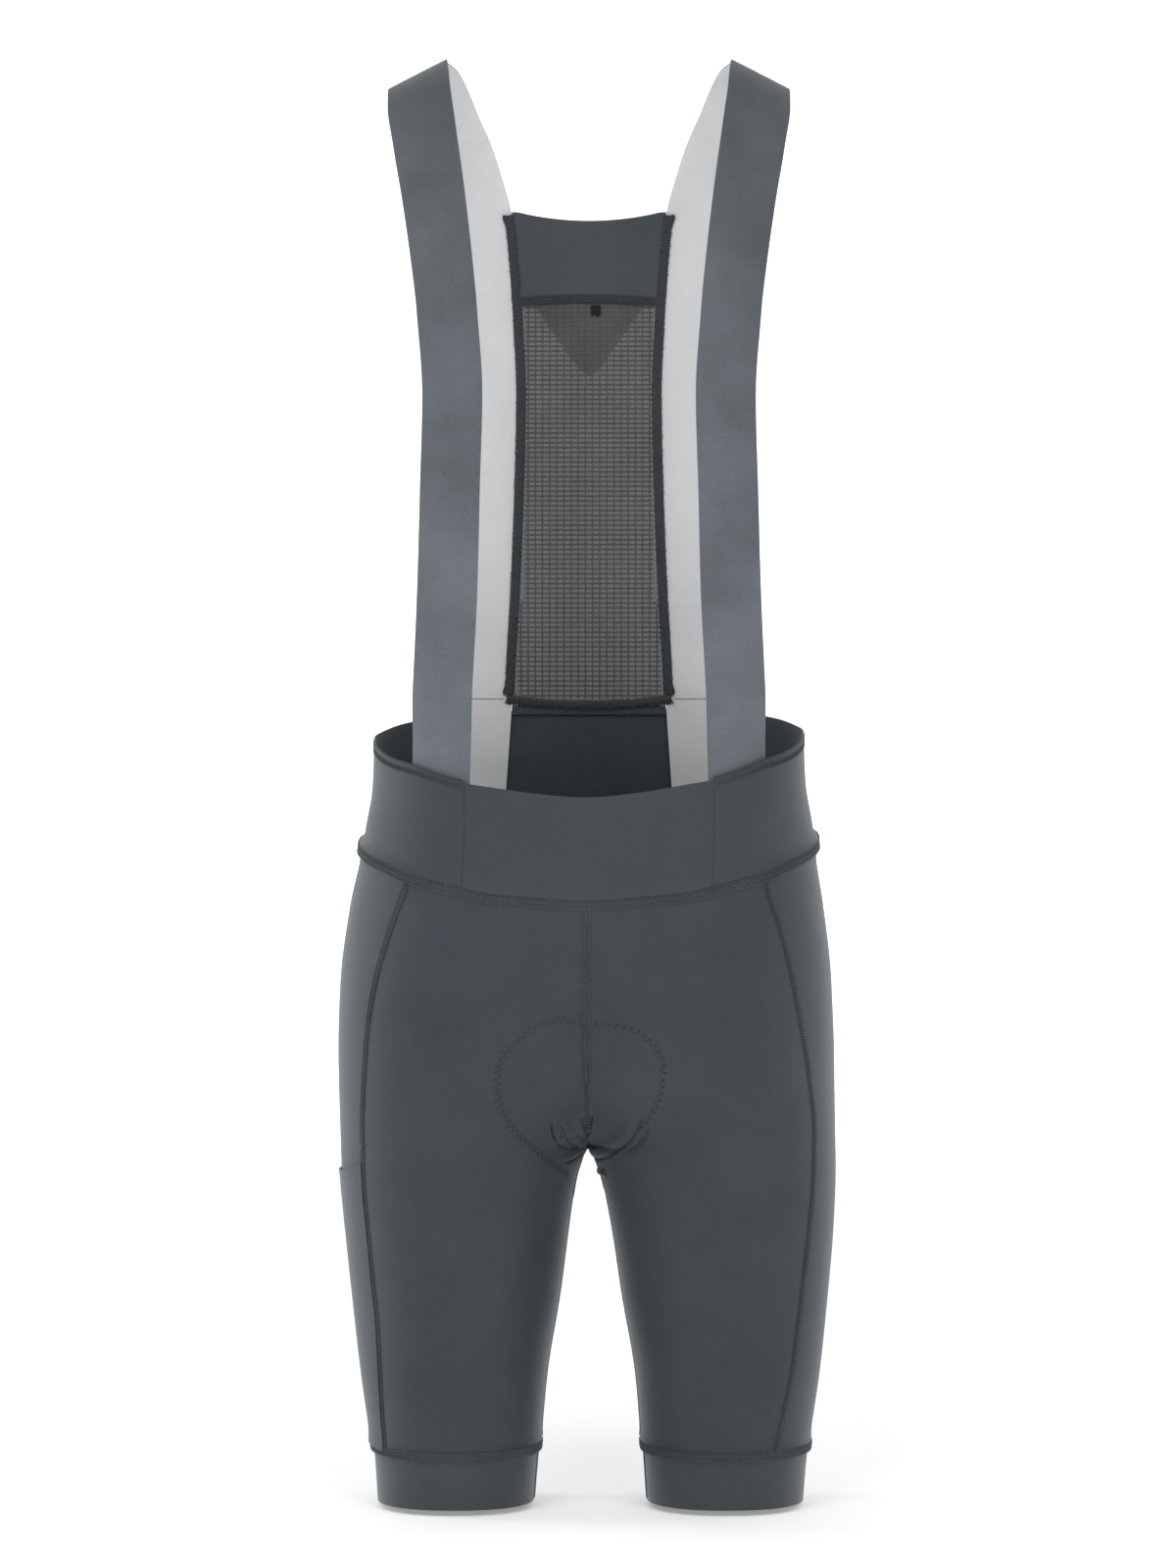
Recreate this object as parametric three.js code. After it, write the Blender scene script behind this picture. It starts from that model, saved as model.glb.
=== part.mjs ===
import * as THREE from 'three';

// Cycling bib shorts, hollow and filled out as when worn. Millimetres, +Z up, +X the wearer's left,
// -Y the front. Heights are measured up from the leg hems, and the group at the end of the file puts
// the origin between the shoulders, where the straps carry the garment.

// Walls, the gap that sewn pieces keep, and the wider one between layers that lie on each other
const SEAM_GAP = 0.3;
const LAYER_GAP = 0.6;
const TUCK_GAP = { front: 1.8, back: 1.25 };
const PAD_GAP = 2.8;
const LYCRA = 1.2;
const BAND = 1.6;
const CUFF = 1.4;
const CUFF_INSET = 1.0;
const STRAP = 1.5;
const NET = 1.0;
const YOKE = 1.0;
const POCKET = 1.0;

// Landmarks of the figure that the cloth goes round
const CROTCH_HEIGHT = 243;
const CROTCH_FILLET = 5;
const FRONT_ARCH = 75;
const BACK_ARCH = 150;
const TORSO_POWER = 2.25;
const SHOULDER_Y = 15;
const FRONT_DOME = 800;
const BACK_DOME = 850;
const DOME_POWER = 2.2;
const CREST = { height: 979, x: 97.5, slope: 0.5 };

// One half of the garment, level by level. outer and inner are the side and inseam x, front and back
// the deepest y, widest the y of the side, and midFront and midBack the x where each is deepest.
const SECTIONS = [
  { height: 0, outer: 145.5, inner: 37.3, front: -62, back: 58, widest: -2, midFront: 91, midBack: 91 },
  { height: 41, outer: 148.8, inner: 34.2, front: -66, back: 63, widest: -2, midFront: 91, midBack: 91 },
  { height: 85, outer: 155, inner: 30.3, front: -73, back: 70, widest: -1, midFront: 92, midBack: 92 },
  { height: 139, outer: 161, inner: 21.3, front: -80, back: 80, widest: 0, midFront: 91, midBack: 91 },
  { height: 192, outer: 166, inner: 13.7, front: -88, back: 92, widest: 2, midFront: 90, midBack: 88 },
  { height: 219, outer: 167.8, inner: 8.6, front: -92, back: 99, widest: 3, midFront: 88, midBack: 85 },
  { height: 232, outer: 168.2, inner: 4, front: -94, back: 103, widest: 4, midFront: 87, midBack: 83 },
  { height: 243, outer: 168.3, inner: 0, front: -96, back: 107, widest: 4, midFront: 86, midBack: 82 },
  { height: 299, outer: 168.7, inner: 0, front: -104, back: 120, widest: 5, midFront: 80, midBack: 74 },
  { height: 352, outer: 167, inner: 0, front: -108, back: 122, widest: 4, midFront: 66, midBack: 66 },
  { height: 405, outer: 160.5, inner: 0, front: -109, back: 112, widest: 0, midFront: 54, midBack: 58 },
  { height: 432, outer: 155.3, inner: 0, front: -108.5, back: 106, widest: -3, midFront: 48, midBack: 54 },
  { height: 459, outer: 151.3, inner: 0, front: -108, back: 100, widest: -5, midFront: 44, midBack: 50 },
  { height: 485, outer: 147, inner: 0, front: -107.5, back: 95, widest: -7, midFront: 41, midBack: 46 },
  { height: 512, outer: 146, inner: 0, front: -107.5, back: 92, widest: -8, midFront: 38, midBack: 42 },
  { height: 620, outer: 148, inner: 0, front: -110, back: 89, widest: -9, midFront: 36, midBack: 36 },
  { height: 700, outer: 152, inner: 0, front: -114, back: 92, widest: -10, midFront: 36, midBack: 34 },
  { height: 800, outer: 160, inner: 0, front: -120, back: 100, widest: -10, midFront: 36, midBack: 34 },
  { height: 850, outer: 163, inner: 0, front: -121, back: 105, widest: -10, midFront: 36, midBack: 34 },
];

// The garment hangs a little off true: how far each level stands to the wearer's left
const LEAN = [
  { height: 0, x: 1 },
  { height: 85, x: 1.6 },
  { height: 165, x: 1.2 },
  { height: 219, x: 0 },
  { height: 299, x: -1.8 },
  { height: 340, x: -2.1 },
  { height: 405, x: -1.6 },
  { height: 450, x: 0 },
];
// and how much higher the waist stands on the wearer's left, per 150 mm from the middle
const HITCH = [
  { height: 330, rise: 0 },
  { height: 400, rise: 0.6 },
  { height: 430, rise: 1.1 },
  { height: 480, rise: 2.2 },
  { height: 540, rise: 2.4 },
];
const HITCH_REACH = 150;

// Seam heights by how far round the half garment they are: 0 centre front or inseam, 1 centre back
const WAIST_TOP = [
  { round: 0, height: 474.6 },
  { round: 0.1, height: 480 },
  { round: 0.157, height: 484 },
  { round: 0.199, height: 486.8 },
  { round: 0.241, height: 491.1 },
  { round: 0.3, height: 498.2 },
  { round: 0.35, height: 502.3 },
  { round: 0.4, height: 507.2 },
  { round: 0.44, height: 511.3 },
  { round: 0.48, height: 514.4 },
  { round: 0.52, height: 518.2 },
  { round: 0.58, height: 521.6 },
  { round: 0.66, height: 527.4 },
  { round: 0.8, height: 534.6 },
  { round: 1, height: 536.6 },
];
const WAIST_SEAM = [
  { round: 0, height: 406.3 },
  { round: 0.1, height: 410.8 },
  { round: 0.146, height: 412.8 },
  { round: 0.185, height: 416.7 },
  { round: 0.222, height: 420.6 },
  { round: 0.274, height: 425.6 },
  { round: 0.313, height: 431.2 },
  { round: 0.338, height: 434.3 },
  { round: 0.37, height: 437.5 },
  { round: 0.41, height: 441.6 },
  { round: 0.44, height: 444.2 },
  { round: 0.47, height: 446.2 },
  { round: 0.52, height: 450 },
  { round: 0.58, height: 453 },
  { round: 0.66, height: 460.5 },
  { round: 0.8, height: 468 },
  { round: 1, height: 470 },
];
const CENTRE_SOFTNESS = 0.04;
const WRAP_STEP = 1.9;
const CUFF_SEAM = [
  { round: 0, top: 40 },
  { round: 0.25, top: 34 },
  { round: 0.5, top: 40 },
  { round: 0.75, top: 37 },
  { round: 1, top: 40 },
];

// The x of the seams beside each side panel, by height; the left leg's run further forward low down
const SIDE_FRONT = [
  { height: 0, right: 136, left: 121 },
  { height: 41, right: 138.2, left: 124.5 },
  { height: 58, right: 140, left: 127.5 },
  { height: 90, right: 141.7, left: 134 },
  { height: 123, right: 143.2, left: 138.5 },
  { height: 156, right: 146.2, left: 142.4 },
  { height: 189, right: 148.7, left: 146.4 },
  { height: 222, right: 150.6, left: 150 },
  { height: 256, right: 150.2, left: 151.3 },
  { height: 289, right: 148.2, left: 148.5 },
  { height: 322, right: 145.3, left: 143.7 },
  { height: 354, right: 140, left: 137.8 },
  { height: 387, right: 130.9, left: 129.6 },
  { height: 410, right: 123, left: 121.8 },
  { height: 424, right: 118, left: 117.6 },
  { height: 450, right: 111, left: 110.5 },
];
const SIDE_BACK = [
  { height: 0, x: 122 },
  { height: 85, x: 128 },
  { height: 186, x: 138 },
  { height: 277, x: 140 },
  { height: 360, x: 130 },
  { height: 460, x: 106 },
];

// The waistband's centre panel ends under the straps' inner edges
const BAND_SPLIT_X = 82.5;

// Straps: inner and outer edge by height on the front and back runs, by degrees over the shoulder
const STRAP_FRONT = [
  { height: 458, inner: 80.8, outer: 116.5 },
  { height: 484, inner: 80.2, outer: 117.6 },
  { height: 500, inner: 79.9, outer: 119.6 },
  { height: 550, inner: 77.3, outer: 117 },
  { height: 614, inner: 73.9, outer: 114 },
  { height: 679, inner: 72.2, outer: 112 },
  { height: 743, inner: 70.4, outer: 110.2 },
  { height: 800, inner: 74, outer: 114 },
];
const STRAP_OVER = [
  { turn: 0, inner: 74, outer: 114 },
  { turn: 24, inner: 83, outer: 124 },
  { turn: 39, inner: 88.5, outer: 130 },
  { turn: 60, inner: 94, outer: 135.5 },
  { turn: 90, inner: 97, outer: 136.5 },
  { turn: 112, inner: 88.5, outer: 131 },
  { turn: 134, inner: 78, outer: 121.5 },
  { turn: 147, inner: 68.6, outer: 112.5 },
  { turn: 158, inner: 61, outer: 104.5 },
  { turn: 168, inner: 54.5, outer: 98 },
  { turn: 180, inner: 50.5, outer: 93.5 },
];
const STRAP_BACK = [
  { height: 472, inner: 59, outer: 102 },
  { height: 540, inner: 54.3, outer: 97.5 },
  { height: 568, inner: 52.8, outer: 96 },
  { height: 622, inner: 49.5, outer: 92.7 },
  { height: 692, inner: 46.8, outer: 90 },
  { height: 755, inner: 45.5, outer: 88.7 },
  { height: 808, inner: 47.6, outer: 90.6 },
  { height: 850, inner: 50.5, outer: 93.5 },
];

// Back panel: the net, the two yoke layers, the loop under the inner yoke and the overlocked ridges
const NET_BOTTOM = 534;
const NET_TOP = 862;
const YOKE_TOP = { centre: 880.5, corner: 886.5 };
const YOKE_HEM = { centre: 823, corner: 820 };
const YOKE_POINT = { tip: 772, slope: 1.5, round: 6 };
const LOOP = { left: 1.4, right: 8.2, top: 820.6, low: 813.6, slant: 1.2 };
const RIDGE = { width: 5.4, height: 1.9, top: 884, bottom: 548.4, low: 538.6, rise: 4.4, reach: 58 };

// Side pocket on the right leg: the height of its open edge across the side panel, front to back
const POCKET_OPENING = [
  { share: 0, height: 232 },
  { share: 0.25, height: 225 },
  { share: 0.5, height: 224 },
  { share: 1, height: 231 },
];
const POCKET_ROWS = 10;

// Seat pad: half width and how far it runs up the front and the back from the crotch
const PAD = { front: 82, back: 150, frontWidth: 55, crotchWidth: 48, backWidth: 92, thickness: 6, rim: 1.6 };

// The largest folds by the crotch, and the swell that the pad and the sewn edges give the cloth
const FOLDS = [
  { side: -1, x: 24, height: 252, alongX: 0.25, alongZ: -0.97, length: 16, width: 4.5, depth: 1.8 },
  { side: -1, x: 13, height: 238, alongX: -0.95, alongZ: -0.2, length: 12, width: 4.5, depth: 1.8 },
  { side: 1, x: 32, height: 250, alongX: -0.65, alongZ: -0.76, length: 18, width: 5, depth: 1.6 },
  { side: 1, x: 14, height: 231, alongX: -0.84, alongZ: -0.54, length: 14, width: 4.5, depth: 1.4 },
];
const PAD_SWELL = { height: 284, halfHeight: 52, halfWidth: 58, rise: 2.2 };
const WAIST_LIP = [
  { round: 0, rise: 1 },
  { round: 0.2, rise: 1 },
  { round: 0.45, rise: 3.2 },
  { round: 0.55, rise: 3.2 },
  { round: 0.8, rise: 1.8 },
  { round: 1, rise: 1.8 },
];
const WAIST_LIP_WIDTH = { below: 6, above: 3 };
const CUFF_LIP = { rise: 1, below: 4, above: 6 };

// Reads a column of a table at a place between its rows, smoothly and without overshoot
function slopeAt(rows, key, column, k) {
  const secant = (i) => (rows[i + 1][column] - rows[i][column]) / (rows[i + 1][key] - rows[i][key]);
  if (k === 0) return secant(0);
  if (k === rows.length - 1) return secant(k - 1);
  const before = secant(k - 1);
  const after = secant(k);
  if (before * after <= 0) return 0;
  return (2 * before * after) / (before + after);
}

function readTable(rows, key, column, at) {
  const last = rows.length - 1;
  const place = THREE.MathUtils.clamp(at, rows[0][key], rows[last][key]);
  let k = 0;
  while (k < last - 1 && place > rows[k + 1][key]) k += 1;
  const span = rows[k + 1][key] - rows[k][key];
  const t = (place - rows[k][key]) / span;
  const leaving = slopeAt(rows, key, column, k) * span;
  const arriving = slopeAt(rows, key, column, k + 1) * span;
  const start = rows[k][column];
  const rise = rows[k + 1][column] - start;
  return start + t * (leaving + t * (3 * rise - 2 * leaving - arriving + t * (leaving + arriving - 2 * rise)));
}

const { lerp, smoothstep } = THREE.MathUtils;
const bump = (distance, width) => Math.exp(-((distance / width) ** 2));

// The shape of one level: tabled sizes, and how far the valley between the legs is closed, 1 at the crotch
const archDepth = (up) => Math.sqrt(1 - (1 - Math.min(Math.max(up, 0), 1)) ** 2);
const valleyFrom = (depth) => Math.max((1 - depth ** TORSO_POWER) ** (1 / TORSO_POWER), 0.02);

function levelAt(height) {
  const read = (column) => readTable(SECTIONS, 'height', column, height);
  const level = {
    outer: read('outer'),
    inner: Math.hypot(read('inner'), CROTCH_FILLET),
    front: read('front'),
    back: read('back'),
    widest: read('widest'),
    midFront: read('midFront'),
    midBack: read('midBack'),
  };
  const above = height - CROTCH_HEIGHT;
  level.valleyFront = above > 0 ? valleyFrom(archDepth(above / FRONT_ARCH)) : 1;
  level.valleyBack = above > 0 ? valleyFrom(archDepth(above / BACK_ARCH)) : 1;
  return level;
}

// The level's outline from the centre front or inseam, round the side, to the centre back or inseam
const QUARTER_STEPS = 40;
const outlines = new Map();

function outlineAt(height) {
  const key = height.toFixed(4);
  if (outlines.has(key)) return outlines.get(key);
  const level = levelAt(height);
  const power = 2 / TORSO_POWER;
  const points = [];
  const add = (wide, y) => {
    const x = Math.sqrt(Math.max(wide * wide - CROTCH_FILLET * CROTCH_FILLET, 0));
    points.push({ x, y });
  };
  const addInner = (mid, depth, valley, t) => {
    const angle = Math.asin(valley ** (1 / power)) * t;
    const share = Math.sin(angle) ** power / valley;
    add(mid - (mid - level.inner) * share, level.widest + depth * Math.cos(angle) ** power);
  };
  const addOuter = (mid, depth, t) => {
    const angle = (t * Math.PI) / 2;
    add(mid + (level.outer - mid) * Math.sin(angle) ** power, level.widest + depth * Math.cos(angle) ** power);
  };
  const frontDepth = level.front - level.widest;
  const backDepth = level.back - level.widest;
  for (let i = 0; i < QUARTER_STEPS; i += 1) {
    addInner(level.midFront, frontDepth, level.valleyFront, 1 - i / QUARTER_STEPS);
  }
  for (let i = 0; i < QUARTER_STEPS; i += 1) addOuter(level.midFront, frontDepth, i / QUARTER_STEPS);
  for (let i = 0; i < QUARTER_STEPS; i += 1) addOuter(level.midBack, backDepth, 1 - i / QUARTER_STEPS);
  for (let i = 0; i <= QUARTER_STEPS; i += 1) {
    addInner(level.midBack, backDepth, level.valleyBack, i / QUARTER_STEPS);
  }
  let length = 0;
  points.forEach((point, i) => {
    if (i > 0) length += Math.hypot(point.x - points[i - 1].x, point.y - points[i - 1].y);
    point.length = length;
  });
  const outline = { points, length };
  outlines.set(key, outline);
  return outline;
}

// A place on the outline, by its share of the way round; past an end it goes on into the other half,
// or below the crotch round the same leg
function placeAt(round, height) {
  const outline = outlineAt(height);
  if (height < CROTCH_HEIGHT) round -= Math.floor(round);
  let mirror = 1;
  if (round < 0) {
    round = -round;
    mirror = -1;
  }
  if (round > 1) {
    round = 2 - round;
    mirror = -1;
  }
  const wanted = round * outline.length;
  const points = outline.points;
  let low = 0;
  let high = points.length - 1;
  while (high - low > 1) {
    const middle = (low + high) >> 1;
    if (points[middle].length > wanted) high = middle;
    else low = middle;
  }
  const t = (wanted - points[low].length) / (points[high].length - points[low].length || 1);
  return {
    x: mirror * lerp(points[low].x, points[high].x, t),
    y: lerp(points[low].y, points[high].y, t),
  };
}

// The share of the way round at which the outline reaches an x, on its front or its back
function roundAtX(x, height, onBack = false) {
  const { points, length } = outlineAt(height);
  const side = 2 * QUARTER_STEPS;
  const step = onBack ? 1 : -1;
  let i = side;
  while (points[i + step].x > x) i += step;
  const t = (points[i].x - x) / (points[i].x - points[i + step].x);
  return lerp(points[i].length, points[i + step].length, t) / length;
}

// How far a place is outside the figure, as a smooth number whose gradient is the outward direction
function outsideness(x, y, height) {
  const level = levelAt(height);
  const wide = Math.hypot(x, CROTCH_FILLET);
  const atFront = y < level.widest;
  const mid = atFront ? level.midFront : level.midBack;
  const valley = atFront ? level.valleyFront : level.valleyBack;
  const depth = atFront ? level.widest - level.front : level.back - level.widest;
  const across = wide > mid ? (wide - mid) / (level.outer - mid) : (valley * (mid - wide)) / (mid - level.inner);
  return across ** TORSO_POWER + (Math.abs(y - level.widest) / depth) ** TORSO_POWER;
}

function outwardAt(x, y, height) {
  const step = 0.2;
  const outward = new THREE.Vector3(
    outsideness(x + step, y, height) - outsideness(x - step, y, height),
    outsideness(x, y + step, height) - outsideness(x, y - step, height),
    outsideness(x, y, height + step) - outsideness(x, y, height - step),
  );
  return outward.normalize();
}

// Heights of the sewn edges; past the centre front or back the way round counts back again
const folded = (round) => Math.abs(round > 1 ? 2 - round : round);
const softened = (round) => Math.hypot(folded(round), CENTRE_SOFTNESS * (1 - folded(round)));
const waistTop = (round) => readTable(WAIST_TOP, 'round', 'height', softened(round));
const waistSeam = (round) => readTable(WAIST_SEAM, 'round', 'height', softened(round));
const cuffSeam = (round) => readTable(CUFF_SEAM, 'round', 'top', round - Math.floor(round));

// What folds, pad and sewn edges add to the cloth, outwards
function reliefAt(side, x, y, round, height, folds) {
  let rise = 0;
  if (y < 0 && height < 360) {
    const up = (height - PAD_SWELL.height) / PAD_SWELL.halfHeight;
    const across = x / PAD_SWELL.halfWidth;
    rise += PAD_SWELL.rise * smoothstep(1 - up * up - across * across, 0, 0.8);
    for (const fold of folds) {
      if (fold.side !== side) continue;
      const dx = x - fold.x;
      const dz = height - fold.height;
      const along = dx * fold.alongX + dz * fold.alongZ;
      const over = dx * fold.alongZ - dz * fold.alongX;
      rise -= fold.depth * bump(along, fold.length) * bump(over, fold.width);
    }
  }
  const overWaist = height - waistSeam(round);
  const lipWidth = overWaist > 0 ? WAIST_LIP_WIDTH.above : WAIST_LIP_WIDTH.below;
  rise += readTable(WAIST_LIP, 'round', 'rise', folded(round)) * bump(overWaist, lipWidth);
  if (height < 80) {
    const overCuff = height - cuffSeam(round);
    rise += CUFF_LIP.rise * bump(overCuff, overCuff > 0 ? CUFF_LIP.above : CUFF_LIP.below);
  }
  return rise;
}

// A spot of a wall on the figure: its outer point, lifted off the surface, and the point behind it
function skinSpot(side, round, height, lift, thickness, folds = FOLDS) {
  const place = placeAt(round, height);
  const outward = outwardAt(place.x, place.y, height);
  const rise = lift + reliefAt(side, Math.abs(place.x), place.y, round, height, folds);
  const outer = new THREE.Vector3(place.x, place.y, height).addScaledVector(outward, rise);
  const inner = outer.clone().addScaledVector(outward, -thickness);
  const lean = readTable(LEAN, 'height', 'x', height);
  const hitch = readTable(HITCH, 'height', 'rise', height) / HITCH_REACH;
  for (const point of [outer, inner]) {
    point.x *= side;
    point.z += point.x * hitch;
    point.x += lean;
  }
  return { outer, inner };
}

// A closed wall between the outer and inner points of a grid of spots; ringed joins the row ends
function wall(rows, ringed = false) {
  const across = rows[0].length;
  const count = rows.length * across;
  const positions = [];
  for (const face of ['outer', 'inner']) {
    for (const row of rows) {
      for (const spot of row) positions.push(spot[face].x, spot[face].y, spot[face].z);
    }
  }
  const index = [];
  const at = (j, i, inner) => (inner ? count : 0) + j * across + (i % across);
  const quad = (a, b, c, d) => index.push(a, b, c, a, c, d);
  const cells = ringed ? across : across - 1;
  for (let j = 0; j < rows.length - 1; j += 1) {
    for (let i = 0; i < cells; i += 1) {
      quad(at(j, i, false), at(j, i + 1, false), at(j + 1, i + 1, false), at(j + 1, i, false));
      quad(at(j, i, true), at(j + 1, i, true), at(j + 1, i + 1, true), at(j, i + 1, true));
    }
  }
  const top = rows.length - 1;
  for (let i = 0; i < cells; i += 1) {
    quad(at(0, i, false), at(0, i, true), at(0, i + 1, true), at(0, i + 1, false));
    quad(at(top, i, false), at(top, i + 1, false), at(top, i + 1, true), at(top, i, true));
  }
  if (!ringed) {
    for (let j = 0; j < top; j += 1) {
      const end = across - 1;
      quad(at(j, 0, false), at(j + 1, 0, false), at(j + 1, 0, true), at(j, 0, true));
      quad(at(j, end, false), at(j, end, true), at(j + 1, end, true), at(j + 1, end, false));
    }
  }
  if (enclosedVolume(positions, index) < 0) index.reverse();
  const geometry = new THREE.BufferGeometry();
  geometry.setAttribute('position', new THREE.Float32BufferAttribute(positions, 3));
  geometry.setIndex(index);
  geometry.computeVertexNormals();
  return geometry;
}

function enclosedVolume(positions, index) {
  const corner = (k) => new THREE.Vector3().fromArray(positions, 3 * index[k]);
  let volume = 0;
  for (let k = 0; k < index.length; k += 3) volume += corner(k).dot(corner(k + 1).cross(corner(k + 2))) / 6;
  return volume;
}

const steps = (count, shape = (t) => t) => Array.from({ length: count + 1 }, (_, i) => shape(i / count));

// The three panels of a leg, each between two seams. columns are the shares across it; crowded is the
// column along the centre seam and inseam, whose rows lie closest together at the crotch.
const sideFrontRound = (side, height) => {
  const x = readTable(SIDE_FRONT, 'height', side > 0 ? 'left' : 'right', height);
  return roundAtX(x, height);
};
const sideBackRound = (height) => roundAtX(readTable(SIDE_BACK, 'height', 'x', height), height, true);

const panelPlans = (side) => ({
  front: {
    columns: steps(12, (t) => t ** 1.2),
    start: () => 0,
    end: (height) => sideFrontRound(side, height),
    crowded: 0,
  },
  side: {
    columns: steps(6),
    start: (height) => sideFrontRound(side, height),
    end: sideBackRound,
  },
  back: {
    columns: steps(12, (t) => 1 - (1 - t) ** 1.2),
    start: sideBackRound,
    end: () => 1,
    crowded: 1,
  },
});

const halfGapRound = (height) => SEAM_GAP / 2 / outlineAt(height).length;

function roundOf(plan, share, height, gap = halfGapRound(height)) {
  return lerp(plan.start(height) + gap, plan.end(height) - gap, share);
}

// Where a panel's column meets a sewn edge that is itself given by the way round
function meetEdge(plan, share, edge, guess, gap) {
  let height = guess;
  for (let pass = 0; pass < 8; pass += 1) height = edge(roundOf(plan, share, height, gap));
  return height;
}

const LEG_ROWS = 10;
const SEAT_ROWS = 12;
const PANEL_ROWS = steps(LEG_ROWS + SEAT_ROWS);

function crowdedHeight(j, bottom, top) {
  if (j <= LEG_ROWS) return CROTCH_HEIGHT - (CROTCH_HEIGHT - bottom) * (1 - j / LEG_ROWS) ** 1.5;
  return CROTCH_HEIGHT + (top - CROTCH_HEIGHT) * ((j - LEG_ROWS) / SEAT_ROWS) ** 1.8;
}

function panelEdges(plan, share) {
  const half = SEAM_GAP / 2;
  return {
    top: meetEdge(plan, share, (round) => waistSeam(round) - half, 430),
    bottom: meetEdge(plan, share, (round) => cuffSeam(round) + half, 40),
  };
}

function legPanel(side, name) {
  const plan = panelPlans(side)[name];
  const grid = PANEL_ROWS.map((v, j) => plan.columns.map((share) => {
    const { top, bottom } = panelEdges(plan, share);
    const nearness = plan.crowded === undefined ? 0 : (1 - Math.abs(share - plan.crowded)) ** 1.5;
    const height = lerp(lerp(bottom, top, v), crowdedHeight(j, bottom, top), nearness);
    return skinSpot(side, roundOf(plan, share, height), height, 0, LYCRA);
  }));
  return wall(grid);
}

// The pocket is the right side panel's lower part again, moved out, with its open edge on top
function sidePocket() {
  const plan = panelPlans(-1).side;
  const grid = PANEL_ROWS.slice(0, POCKET_ROWS + 1).map((v, j) => plan.columns.map((share) => {
    const { top, bottom } = panelEdges(plan, share);
    const opening = readTable(POCKET_OPENING, 'share', 'height', share);
    const height = j === POCKET_ROWS ? opening : lerp(bottom, top, v);
    return skinSpot(-1, roundOf(plan, share, height), height, POCKET + LAYER_GAP, POCKET);
  }));
  return wall(grid);
}

// The columns of all three panels, as ways round a sewn edge, so that what is sewn there has the same
function columnsAlong(side, edge, guess) {
  const rounds = Object.values(panelPlans(side)).flatMap((plan) => plan.columns.slice(0, -1).map((share) => {
    const height = meetEdge(plan, share, edge, guess, 0);
    return roundOf(plan, share, height, 0);
  }));
  return [...rounds, 1];
}

// A leg cuff: a closed ring, a little inside the leg panels' surface
function cuff(side) {
  const rounds = columnsAlong(side, cuffSeam, 40).slice(0, -1);
  const rows = steps(3).map((v) => rounds.map((round) => {
    const height = lerp(0, cuffSeam(round) - SEAM_GAP / 2, v);
    return skinSpot(side, round, height, -CUFF_INSET, CUFF);
  }));
  return wall(rows, true);
}

const splitRound = roundAtX(BAND_SPLIT_X, 450);
const splitGap = halfGapRound(450);
const waistColumns = { right: columnsAlong(-1, waistSeam, 430), left: columnsAlong(1, waistSeam, 430) };

// The join of centre panel and wrap stands upright, so the columns beside it move round with the height
const SPLIT_REACH = 0.25;

function uprightRound(round, height) {
  const from = folded(round);
  const near = from < splitRound ? from / splitRound : Math.max(1 - (from - splitRound) / SPLIT_REACH, 0);
  const moved = from + (roundAtX(BAND_SPLIT_X, height) - splitRound) * near;
  if (round > 1) return 2 - moved;
  return round < 0 ? -moved : moved;
}

// A stretch of waistband round the waist, which may cross the centre front or back; the wrap's top edge
// stands a small step above the centre panel's
function waistband(rounds, step) {
  const grid = steps(4).map((v) => rounds.map((round) => {
    let height = 450;
    for (let pass = 0; pass < 4; pass += 1) {
      const upright = uprightRound(round, height);
      height = lerp(waistSeam(upright) + SEAM_GAP / 2, waistTop(upright) + step, v);
    }
    return skinSpot(1, uprightRound(round, height), height, 0, BAND);
  }));
  return wall(grid);
}

function frontBand() {
  const end = splitRound - splitGap;
  const half = (side) => waistColumns[side].filter((round) => round > 0 && round < end);
  return waistband([-end, ...half('right').map((round) => -round).reverse(), 0, ...half('left'), end], 0);
}

function backBand() {
  const end = splitRound + splitGap;
  const half = (side) => waistColumns[side].filter((round) => round > end && round < 1);
  const back = [...half('left'), 1, ...half('right').map((round) => 2 - round).reverse()];
  return waistband([end, ...back, 2 - end], WRAP_STEP);
}

// The figure above the waist: its front and back at an x and a height, rounded over the shoulders
const crestAt = (x) => CREST.height - (Math.abs(x) - CREST.x) * CREST.slope;

function trunkY(x, height, onBack) {
  const level = levelAt(height);
  const mid = onBack ? level.midBack : level.midFront;
  const across = Math.max((Math.hypot(x, CROTCH_FILLET) - mid) / (level.outer - mid), 0);
  const depth = (1 - across ** TORSO_POWER) ** (1 / TORSO_POWER);
  return level.widest + ((onBack ? level.back : level.front) - level.widest) * depth;
}

function backY(x, height) {
  if (height <= BACK_DOME) return trunkY(x, height, true);
  const up = (height - BACK_DOME) / (crestAt(x) - BACK_DOME);
  const depth = (1 - up ** DOME_POWER) ** (1 / DOME_POWER);
  return SHOULDER_Y + (trunkY(x, BACK_DOME, true) - SHOULDER_Y) * depth;
}

// Straps, net and ridges tuck behind the waistband, so there they lie further in
const tuckFront = (height) => (BAND + TUCK_GAP.front) * (1 - smoothstep(height, 506, 550));
const tuckBack = (height) => (BAND + TUCK_GAP.back) * (1 - smoothstep(height, 545, 590));

function backSpot(x, height, lift, thickness) {
  const step = 0.5;
  const slopeX = (backY(x + step, height) - backY(x - step, height)) / (2 * step);
  const slopeZ = (backY(x, height + step) - backY(x, height - step)) / (2 * step);
  const outward = new THREE.Vector3(-slopeX, 1, -slopeZ).normalize();
  const outer = new THREE.Vector3(x, backY(x, height), height);
  outer.addScaledVector(outward, lift - tuckBack(height));
  return { outer, inner: outer.clone().addScaledVector(outward, -thickness) };
}

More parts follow.
